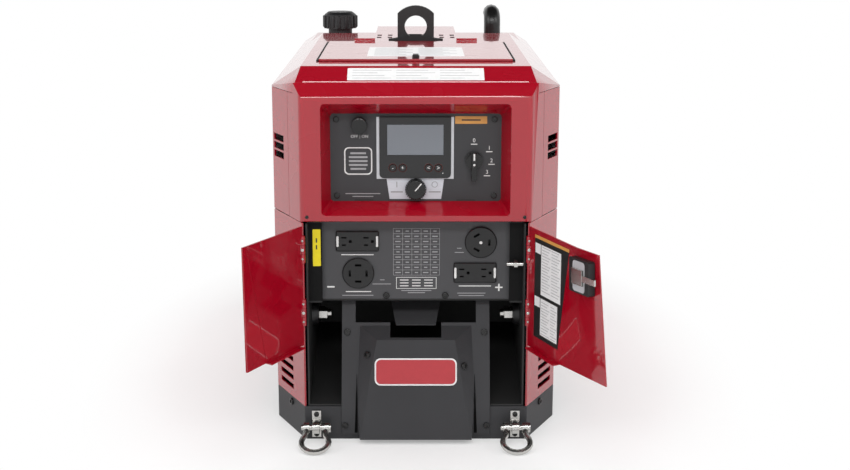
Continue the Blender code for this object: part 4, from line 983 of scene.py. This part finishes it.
for name, box, corner in (("switch_pointer", bar(SWITCH_X, SWITCH_Z + 0.0075, 0.0014, 0.0060), 0.0012),
                          ("switch_dot", bar(SWITCH_X, SWITCH_Z - 0.0059, 0.0019, 0.0019), 0.0018)):
    mark = face_plate(name, box, switch_low.y, corner=corner, sunk=GROOVE)
    keep(mark, white_ink, body="engine_switch")

cap = middle("fuel_cap")
cap_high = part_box("fuel_cap")[1]
rib_ring("fuel_cap_ribs", (cap.x, cap.y, cap_high.z - 0.021), UP_FACING, cap_high.x - cap.x - 0.0012,
         CAP_RIB, 16, black_plastic, "fuel_cap")

BUTTON_RING = (0.0070, 0.0003, 8)
for number, sign in enumerate("-+<>", 1):
    node = "display_button_%d" % number
    spot = middle(node)
    lettering("button_%d_sign" % number, sign, (spot.x, spot.z), LEGEND_SIZE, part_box(node)[0].y,
              node)
    button_ring = ring("button_%d_ring" % number, (spot.x, SCREEN_FACE, spot.z), *BUTTON_RING)
    keep(button_ring, ring_red)
print("knobs and buttons dressed")

# %% [markdown]
# ## The output panel
# The grey panel carries a ruled chart, the outlets, and a plus and a minus for the two weld
# studs. The chart is a grid whose edges became lines, and the values in it are plain dashes.

# %% Dress the output panel
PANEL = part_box("output_panel")[0].y
CHART_LOW = (-0.0386, 0.2870)
CHART_HIGH = (0.0410, 0.3700)
CELLS = (5, 9)
chart("output_chart", CHART_LOW, CHART_HIGH, CELLS, PANEL, dim_ink, line=0.00055)
cell_width = (CHART_HIGH[0] - CHART_LOW[0]) / CELLS[0]
cell_height = (CHART_HIGH[1] - CHART_LOW[1]) / CELLS[1]
dashes = []
for column in range(CELLS[0]):
    for row in range(CELLS[1]):
        x = CHART_LOW[0] + cell_width * (column + 0.5)
        z = CHART_LOW[1] + cell_height * (row + 0.5)
        dashes.append(bar(x, z, cell_width * (0.30 - 0.06 * ((column + 2 * row) % 3)), 0.0009))
rules("output_chart_values", dashes, PANEL, dim_ink)

BOX_LOW = (-0.0335, 0.2630)
BOX_HIGH = (0.0354, 0.2830)
BOX_ROWS = [BOX_HIGH[1] - 0.0048 - row * 0.0052 for row in range(3)]
chart("output_box", BOX_LOW, BOX_HIGH, (1, 1), PANEL, white_ink, line=0.0009)
dashes = [bar(x, z, 0.0075, 0.0008) for z in BOX_ROWS for x in (-0.020, 0.001, 0.022)]
rules("output_box_values", dashes, PANEL, white_ink)

SIGN = (0.0065, 0.0013)
MINUS = (-0.147, 0.266)
PLUS = (0.144, 0.265)
rules("output_signs", [bar(*MINUS, *SIGN), bar(*PLUS, *SIGN)], PANEL, white_ink)
rules("output_sign_upright", [bar(*PLUS, *reversed(SIGN))], PANEL - INK / 2, white_ink)

underlines = []
for node, drop, half in (("duplex_receptacle_left", 0.0065, 0.028),
                         ("duplex_receptacle_right", 0.0065, 0.028),
                         ("round_receptacle_left", 0.0060, 0.022)):
    underlines.append(bar(middle(node).x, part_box(node)[0].z - drop, half, 0.0008))
rules("outlet_underlines", underlines, PANEL, white_ink)
SMALL_LINES = ((-0.0590, 0.2711, 0.032), (-0.0580, 0.2785, 0.008), (0.0750, 0.3276, 0.016),
               (0.0750, 0.3350, 0.008), (-0.1005, 0.2507, 0.054), (0.0964, 0.2546, 0.049),
               (0.0964, 0.2502, 0.044), (0.0010, 0.2592, 0.052), (0.0010, 0.2554, 0.030))
small_lines = [bar(x, z, width / 2, 0.0006) for x, z, width in SMALL_LINES]
rules("outlet_small_lines", small_lines, PANEL, dim_ink)

END_MARK = (0.0019, 0.0095)
END_MARK_INSET = 0.0030
for hand in HANDS:
    node = "duplex_receptacle_" + hand
    low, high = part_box(node)
    ends = []
    for x in (low.x + END_MARK_INSET, high.x - END_MARK_INSET):
        box = bar(x, middle(node).z, *END_MARK)
        ends.append(face_plate("end", box, low.y, proud=0.0012, corner=0.0017, rim=0.0005))
    keep(joined(ends, "duplex_end_marks_" + hand), white_ink)
CENTRE_MARK = (0.0026, 0.0026)
centre = middle("round_receptacle_right")
mark_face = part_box("round_receptacle_right")[0].y
mark_box = bar(centre.x, centre.z, *CENTRE_MARK)
mark = face_plate("round_centre_mark", mark_box, mark_face, proud=0.0006, corner=0.0024, sunk=0.0005)
keep(mark, white_ink)
STRIP_SCREW = (0.0058, 0.0030)
screws("output_panel_screws", [(x, PANEL, 0.2505) for x in (-0.051, 0.051)], STRIP_SCREW, jet_black)

COLUMN = FRONT + 0.022
LINER = (0.0119, 0.0694)
TAG = 0.0003
TAG_BOX = ((-0.1765, 0.3065), (-0.1630, 0.3715))
liners = [face_plate("liner", bar(side * 0.1726, 0.3136, *LINER), COLUMN) for side in (-1, 1)]
keep(joined(liners, "column_liners"), column_black)
keep(face_plate("column_tag", TAG_BOX, COLUMN, TAG, corner=0.0012), yellow)
tag_marks = [bar(-0.1700, z, 0.0012, 0.004) for z in (0.340, 0.352)]
rules("column_tag_marks", tag_marks, COLUMN - TAG, label_dark)
print("output panel dressed, face at", round(PANEL, 4))

# %% [markdown]
# ## Parts that lie on slopes
# Screws and plates on the console and the corners sit on leaning faces. A ray cast from the front,
# from above or from the side finds the point on the face and the way the face looks, so nothing
# has to be measured twice and nothing floats.

# %% Find a face and lay a plate on it
LABEL_SHEET = 0.0002


def seen_from(piece, origin, direction):
    """The first point of a piece along a ray, and the face's normal there."""
    bpy.context.view_layer.update()
    hit, place, normal, _ = piece.ray_cast(Vector(origin), Vector(direction))
    if not hit:
        raise ValueError("no face of " + piece.name + " at " + str(origin))
    return place, normal


def from_front(piece, x, z):
    return seen_from(piece, (x, FRONT - 0.5, z), (0, 1, 0))


def lay(piece, place, normal, lift=0.0):
    """Turn a flat piece, modelled face up at the origin, to a place and a normal."""
    turn = normal.to_track_quat("Z", "Y").to_matrix().to_4x4()
    piece.matrix_world = Matrix.Translation(place + normal * lift) @ turn
    return applied(piece)


def tile(name, size, corner, place, normal, lift=0.0):
    """A flat plate, from its width, height and thickness, laid on a face."""
    width, height, thickness = size
    plate = slab(name, (-width / 2, -height / 2, 0), (width / 2, height / 2, thickness), corner, thin=2)
    return lay(plate, place, normal, lift)


def stripes(name, columns, rows, field, dash, place, normal):
    """Rows of short bars laid on a label, like lines of small print."""
    made = []
    for column in range(columns):
        for row in range(rows):
            left = field[0] * ((column + 0.5) / columns - 0.5) - dash[0] / 2
            y = field[1] * ((row + 0.5) / rows - 0.5)
            right = left + dash[0] * (1.0 - 0.18 * ((row + column) % 3))
            made.append(slab(name, (left, y - dash[1] / 2, 0), (right, y + dash[1] / 2, INK), thin=2))
    return lay(joined(made, name), place, normal, LABEL_SHEET)


cover = dressed["console_cover_dressed"]
bracket = dressed["console_bracket_dressed"]
print("console cover faces", len(cover.data.polygons))

# %% [markdown]
# ## The console
# The raised cover carries one plain red plate with a pale border. Black screws hold the cover's
# flanks and the two strips beside it, and a sloping guide leads cables through the gap above.

# %% Dress the console
PLATE_WIDTH = 0.142
PLATE_HEIGHT = 0.047
BORDER = 0.0026
BORDER_SHEET = 0.0012
plate_spot = from_front(cover, 0.0, 0.124)
border = tile("console_plate_border", (PLATE_WIDTH, PLATE_HEIGHT, BORDER_SHEET), 0.010, *plate_spot)
keep(border, label_white)
red_size = (PLATE_WIDTH - BORDER * 2, PLATE_HEIGHT - BORDER * 2, 0.0004)
keep(tile("console_plate", red_size, 0.008, *plate_spot, BORDER_SHEET), badge_red)

COVER_SCREW = (0.0062, 0.0034)
heads = []
for side in (-1, 1):
    for x, z in ((0.1193, 0.1836), (0.1230, 0.0259)):
        heads.append(screw(*from_front(bracket, side * x, z), *STRIP_SCREW))
for x, z in ((-0.0835, 0.150), (0.0835, 0.132)):
    heads.append(screw(*from_front(cover, x, z), *COVER_SCREW))
keep(joined(heads, "console_screws"), jet_black)

# The black strips beside the cover's flanks are painted shadow, standing in for the shade between the
# cover's sides and the bracket.
SHADOW_STRIP_WIDTH = 0.0052
SHADOW_STRIP_HEIGHTS = (0.0125, 0.120)
SHADOW_STRIP_TAPER = 0.15
SHADOW_STRIP_SHEET = 0.0003
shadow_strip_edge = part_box("console_cover")[1].x + 0.0003
shadow_strips = []
for side in (-1, 1):
    face = from_front(bracket, side * (shadow_strip_edge + SHADOW_STRIP_WIDTH), SHADOW_STRIP_HEIGHTS[0])[0].y
    edges = sorted((side * shadow_strip_edge, side * (shadow_strip_edge + SHADOW_STRIP_WIDTH)))
    gap = face_plate("gap", tuple(zip(edges, SHADOW_STRIP_HEIGHTS)), face, SHADOW_STRIP_SHEET)
    narrow(gap, lambda centre, normal: normal.z > 0.9, SHADOW_STRIP_TAPER, (side * shadow_strip_edge, face, 0))
    shadow_strips.append(gap)
keep(joined(shadow_strips, "console_gaps"), gap_black)

GUIDE_TOP = (FRONT + 0.0880, 0.2245)
GUIDE_FOOT = (FRONT + 0.0480, 0.1930)
GUIDE_HALF = 0.0435
GUIDE_SHEET = 0.002
GUIDE_TAPER = 0.80
guide = slab("console_cable_guide", (-GUIDE_HALF, GUIDE_FOOT[0], GUIDE_FOOT[1] - GUIDE_SHEET),
             (GUIDE_HALF, GUIDE_TOP[0], GUIDE_FOOT[1]), thin=2)
pick_faces(guide, lambda centre, normal: normal.y > 0.9)
bpy.ops.transform.translate(value=(0, 0, GUIDE_TOP[1] - GUIDE_FOOT[1]))
mode("OBJECT")
narrow(guide, lambda centre, normal: normal.y < -0.9, GUIDE_TAPER, (0, *GUIDE_FOOT))
round_edges(guide, 0.0006, longer_than(0.02))
keep(smooth(guide, 30.0), charcoal)
print("console dressed")

# %% [markdown]
# ## The doors
# The right door's inner side carries a chart: a black sheet with a slanted edge, white panels of
# plain grey lines and a blank amber band. It is laid out on the closed door, where it is square,
# and then swung to the open door with one turn about the hinge. Small bright rivets mark the
# hinge knuckles.

# %% Dress the doors
DOOR_TURN = {"left": math.radians(-120), "right": math.radians(114)}
DOOR_SKIN = 0.00125
SHEET = 0.0003


def door_sheet(name, reach, heights, layer=SHEET, thickness=INK):
    """A sheet on the closed right door's inner face, on a layer above the skin."""
    foot = DOOR_SKIN + layer
    return slab(name, (-reach[1], foot, heights[0]), (-reach[0], foot + thickness, heights[1]))


def hang(piece, hand, material):
    """Swing a piece from the closed door's plane to the open door, and let it ride there."""
    body = hand + "_door"
    x, y, _ = pivot_of[body]
    piece.matrix_world = Matrix.Translation((x, y, 0)) @ Matrix.Rotation(DOOR_TURN[hand], 4, "Z")
    keep(applied(piece), material, body)


SHEET_REACH = (0.024, 0.136)
SHEET_HEIGHTS = (0.198, 0.374)
SLANT = 0.031


def outer_foot(a, b):
    at_end = near(a.x, -SHEET_REACH[1]) and near(b.x, -SHEET_REACH[1])
    return at_end and near(a.z, SHEET_HEIGHTS[0]) and near(b.z, SHEET_HEIGHTS[0])


sheet = door_sheet("door_chart_sheet", SHEET_REACH, SHEET_HEIGHTS, 0.0, SHEET)
pick_edges(sheet, outer_foot)
mode("EDIT")
bpy.ops.transform.translate(value=(SLANT, 0, 0))
mode("OBJECT")
hang(sheet, "right", label_dark)
for name, reach, heights, material in (
        ("band", SHEET_REACH, (0.3700, 0.3755), amber),
        ("upper", (0.046, 0.111), (0.276, 0.362), label_white),
        ("lower", (0.046, 0.102), (0.206, 0.270), label_white),
        ("mark_upper", (0.026, 0.044), (0.345, 0.362), label_white),
        ("mark_lower", (0.026, 0.044), (0.253, 0.270), label_white)):
    hang(door_sheet("door_chart_" + name, reach, heights), "right", material)

LINE_STEP = 0.0050
LINE_HALF = 0.0008
LOWER_TOP = 0.270
lines = []
for column, (start, end) in enumerate(((0.0485, 0.0770), (0.0800, 0.1085))):
    for row in range(31):
        z = 0.3590 - row * LINE_STEP
        if 0.267 < z < 0.279:
            continue
        far = end - 0.004 * ((row + column) % 3) - (0.008 if z < LOWER_TOP and column else 0.0)
        lines.append(door_sheet("line", (start, far), (z - LINE_HALF, z + LINE_HALF), SHEET + INK))
hang(joined(lines, "door_chart_lines"), "right", pale_line)

CREASE = (0.0014, 0.0006)
CREASE_FOOT = (0.111, 0.176)
CREASE_HEAD = (0.158, 0.382)
run = CREASE_HEAD[0] - CREASE_FOOT[0]
rise = CREASE_HEAD[1] - CREASE_FOOT[1]
crease = slab("left_door_crease", (-CREASE[0] / 2, DOOR_SKIN, 0),
              (CREASE[0] / 2, DOOR_SKIN + CREASE[1], math.hypot(run, rise)))
lean = Matrix.Rotation(math.atan2(run, rise), 4, "Y")
crease.matrix_world = Matrix.Translation((CREASE_FOOT[0], 0, CREASE_FOOT[1])) @ lean
hang(applied(crease), "left", door_red)

LATCH_PLATE = (0.030, 0.050, 0.0002)
inward = Matrix.Rotation(DOOR_TURN["right"], 3, "Z") @ Vector((0, 1, 0))
latch_spot = seen_from(dressed["latch_case_dressed"], middle("latch_case") + inward * 0.1, -inward)
keep(tile("latch_face_plate", LATCH_PLATE, 0.005, *latch_spot), silver_trim, "right_door")

HINGE_RIVET = (0.0028, 0.0014)
DOOR_RIVET = (0.0019, 0.0012)
HINGE_HEIGHTS = (0.232, 0.343)
HINGE_SKIN = 0.0044
KNUCKLE = 0.0158
for hand in HANDS:
    body = hand + "_door"
    x, y, _ = pivot_of[body]
    fixed = [(x, y - HINGE_SKIN, z) for z in HINGE_HEIGHTS]
    swung = [(x, y - HINGE_SKIN, z + step) for z in HINGE_HEIGHTS for step in (-KNUCKLE, KNUCKLE)]
    screws(hand + "_hinge_rivets", fixed, HINGE_RIVET, stainless, sides=12)
    screws(body + "_rivets", swung, DOOR_RIVET, zinc_steel, body, sides=12)
print("doors dressed")

# %% [markdown]
# ## Roof labels and the last screws
# A long white label runs along the roof's front slope and a wide one lies on the lid. Both hold
# plain grey lines. The roof's front edge is folded into a narrow lip that catches the light, and
# black slabs just under the roof's slots are painted shade that makes the slots look dark. Black
# screws close the corners of the bezel and the base and hold the side panels.

# %% Labels and corner screws
SLOPE_MARGIN = 0.0030
slope_low = from_front(roof, 0.0, bezel_high.z + SLOPE_MARGIN)[0]
slope_high, slope_normal = from_front(roof, 0.0, ROOF_TOP - SLOPE_MARGIN)
slope_length = (slope_high - slope_low).length
slope = ((slope_low + slope_high) / 2, slope_normal)
keep(tile("slope_label", (0.231, slope_length, LABEL_SHEET), 0.001, *slope), label_white)
slope_print = stripes("slope_label_lines", 3, 4, (0.222, slope_length * 0.86), (0.066, 0.0016), *slope)
keep(slope_print, pale_line)

LID_LABEL_DEPTH = FRONT + 0.255
lid_place, lid_normal = seen_from(dressed["roof_lid_dressed"], (0.03, LID_LABEL_DEPTH, 1.0), (0, 0, -1))
lid_place.x = 0.0
lid_label = tile("lid_label", (0.174, 0.150, LABEL_SHEET), 0.002, lid_place, lid_normal)
keep(lid_label, label_white, "roof_lid")
lid_print = stripes("lid_label_lines", 2, 9, (0.160, 0.130), (0.070, 0.0045), lid_place, lid_normal)
keep(lid_print, pale_line, "roof_lid")

SEAL_SIDES = (0.1706, 0.1746)
SEAL_DEPTHS = (FRONT + 0.141, FRONT + 0.443)
SEAL_HEIGHT = 0.0024
seals = []
for side in (-1, 1):
    edges = sorted(side * x for x in SEAL_SIDES)
    seals.append(slab("seal", (edges[0], SEAL_DEPTHS[0], ROOF_TOP),
                      (edges[1], SEAL_DEPTHS[1], ROOF_TOP + SEAL_HEIGHT), 0.0012, thin=2))
keep(joined(seals, "lid_seals"), rubber_black)

LIP = (0.380, 0.0017, 0.0006)
LIP_LEAN = math.radians(21.0)
lip_place = from_front(roof, 0.0, bezel_high.z + 0.0008)[0]
lip_normal = Vector((0, -math.cos(LIP_LEAN), math.sin(LIP_LEAN)))
keep(tile("roof_front_lip", LIP, 0.0, lip_place, lip_normal), red_paint)

# The black slabs under the roof's slots are painted shade, standing in for the dark inside seen through the
# slots.
SLOT_SHADE_SIZE = Vector((0.0088, 0.0248, 0.0020))
SLOT_SHADE_XS = (0.011, 0.053, 0.075)
SLOT_SHADE_DEPTHS = (FRONT + 0.5441, FRONT + 0.5891)
SLOT_SHADE_FOOT = ROOF_TOP - 0.0026
foam = []
for x in SLOT_SHADE_XS:
    for side in (-1, 1):
        for depth in SLOT_SHADE_DEPTHS:
            low = Vector((side * x - SLOT_SHADE_SIZE.x / 2, depth, SLOT_SHADE_FOOT))
            foam.append(slab("foam", low, low + SLOT_SHADE_SIZE))
keep(joined(foam, "roof_slot_foam"), bay_black)

SIDE_SCREW = (0.0050, 0.0026)
SIDE_SCREW_DEPTHS = (-0.22, 0.0, 0.20, 0.39)
SIDE_SCREW_HEIGHTS = (0.082, 0.345, 0.425, 0.590)
heads = []
for side, hand in zip((-1, 1), HANDS):
    for height in SIDE_SCREW_HEIGHTS:
        level = "lower" if height < SEAM else "upper"
        wall = dressed[level + "_side_" + hand + "_dressed"]
        for depth in SIDE_SCREW_DEPTHS:
            heads.append(screw(*seen_from(wall, (side, depth, height), (-side, 0, 0)), *SIDE_SCREW))
keep(joined(heads, "side_panel_screws"), jet_black)

PAD_BOLT = (0.0046, 0.0030)
for hand in HANDS:
    node = "pad_eye_" + hand
    pad = dressed[node + "_dressed"]
    bolts = [screw(*from_front(pad, middle(node).x, z), *PAD_BOLT) for z in (0.0115, 0.0475)]
    keep(joined(bolts, "pad_bolts_" + hand), jet_black)

BEZEL_SCREW = (0.0030, 0.0014)
tray = dressed["base_tray_dressed"]
heads = []
for side in (-1, 1):
    heads.append(screw(*from_front(bezel, side * 0.1840, 0.3980), *BEZEL_SCREW))
    heads.append(screw(*from_front(tray, side * 0.2195, 0.0500), *COVER_SCREW))
keep(joined(heads, "corner_screws"), jet_black)
print("labels and screws placed")
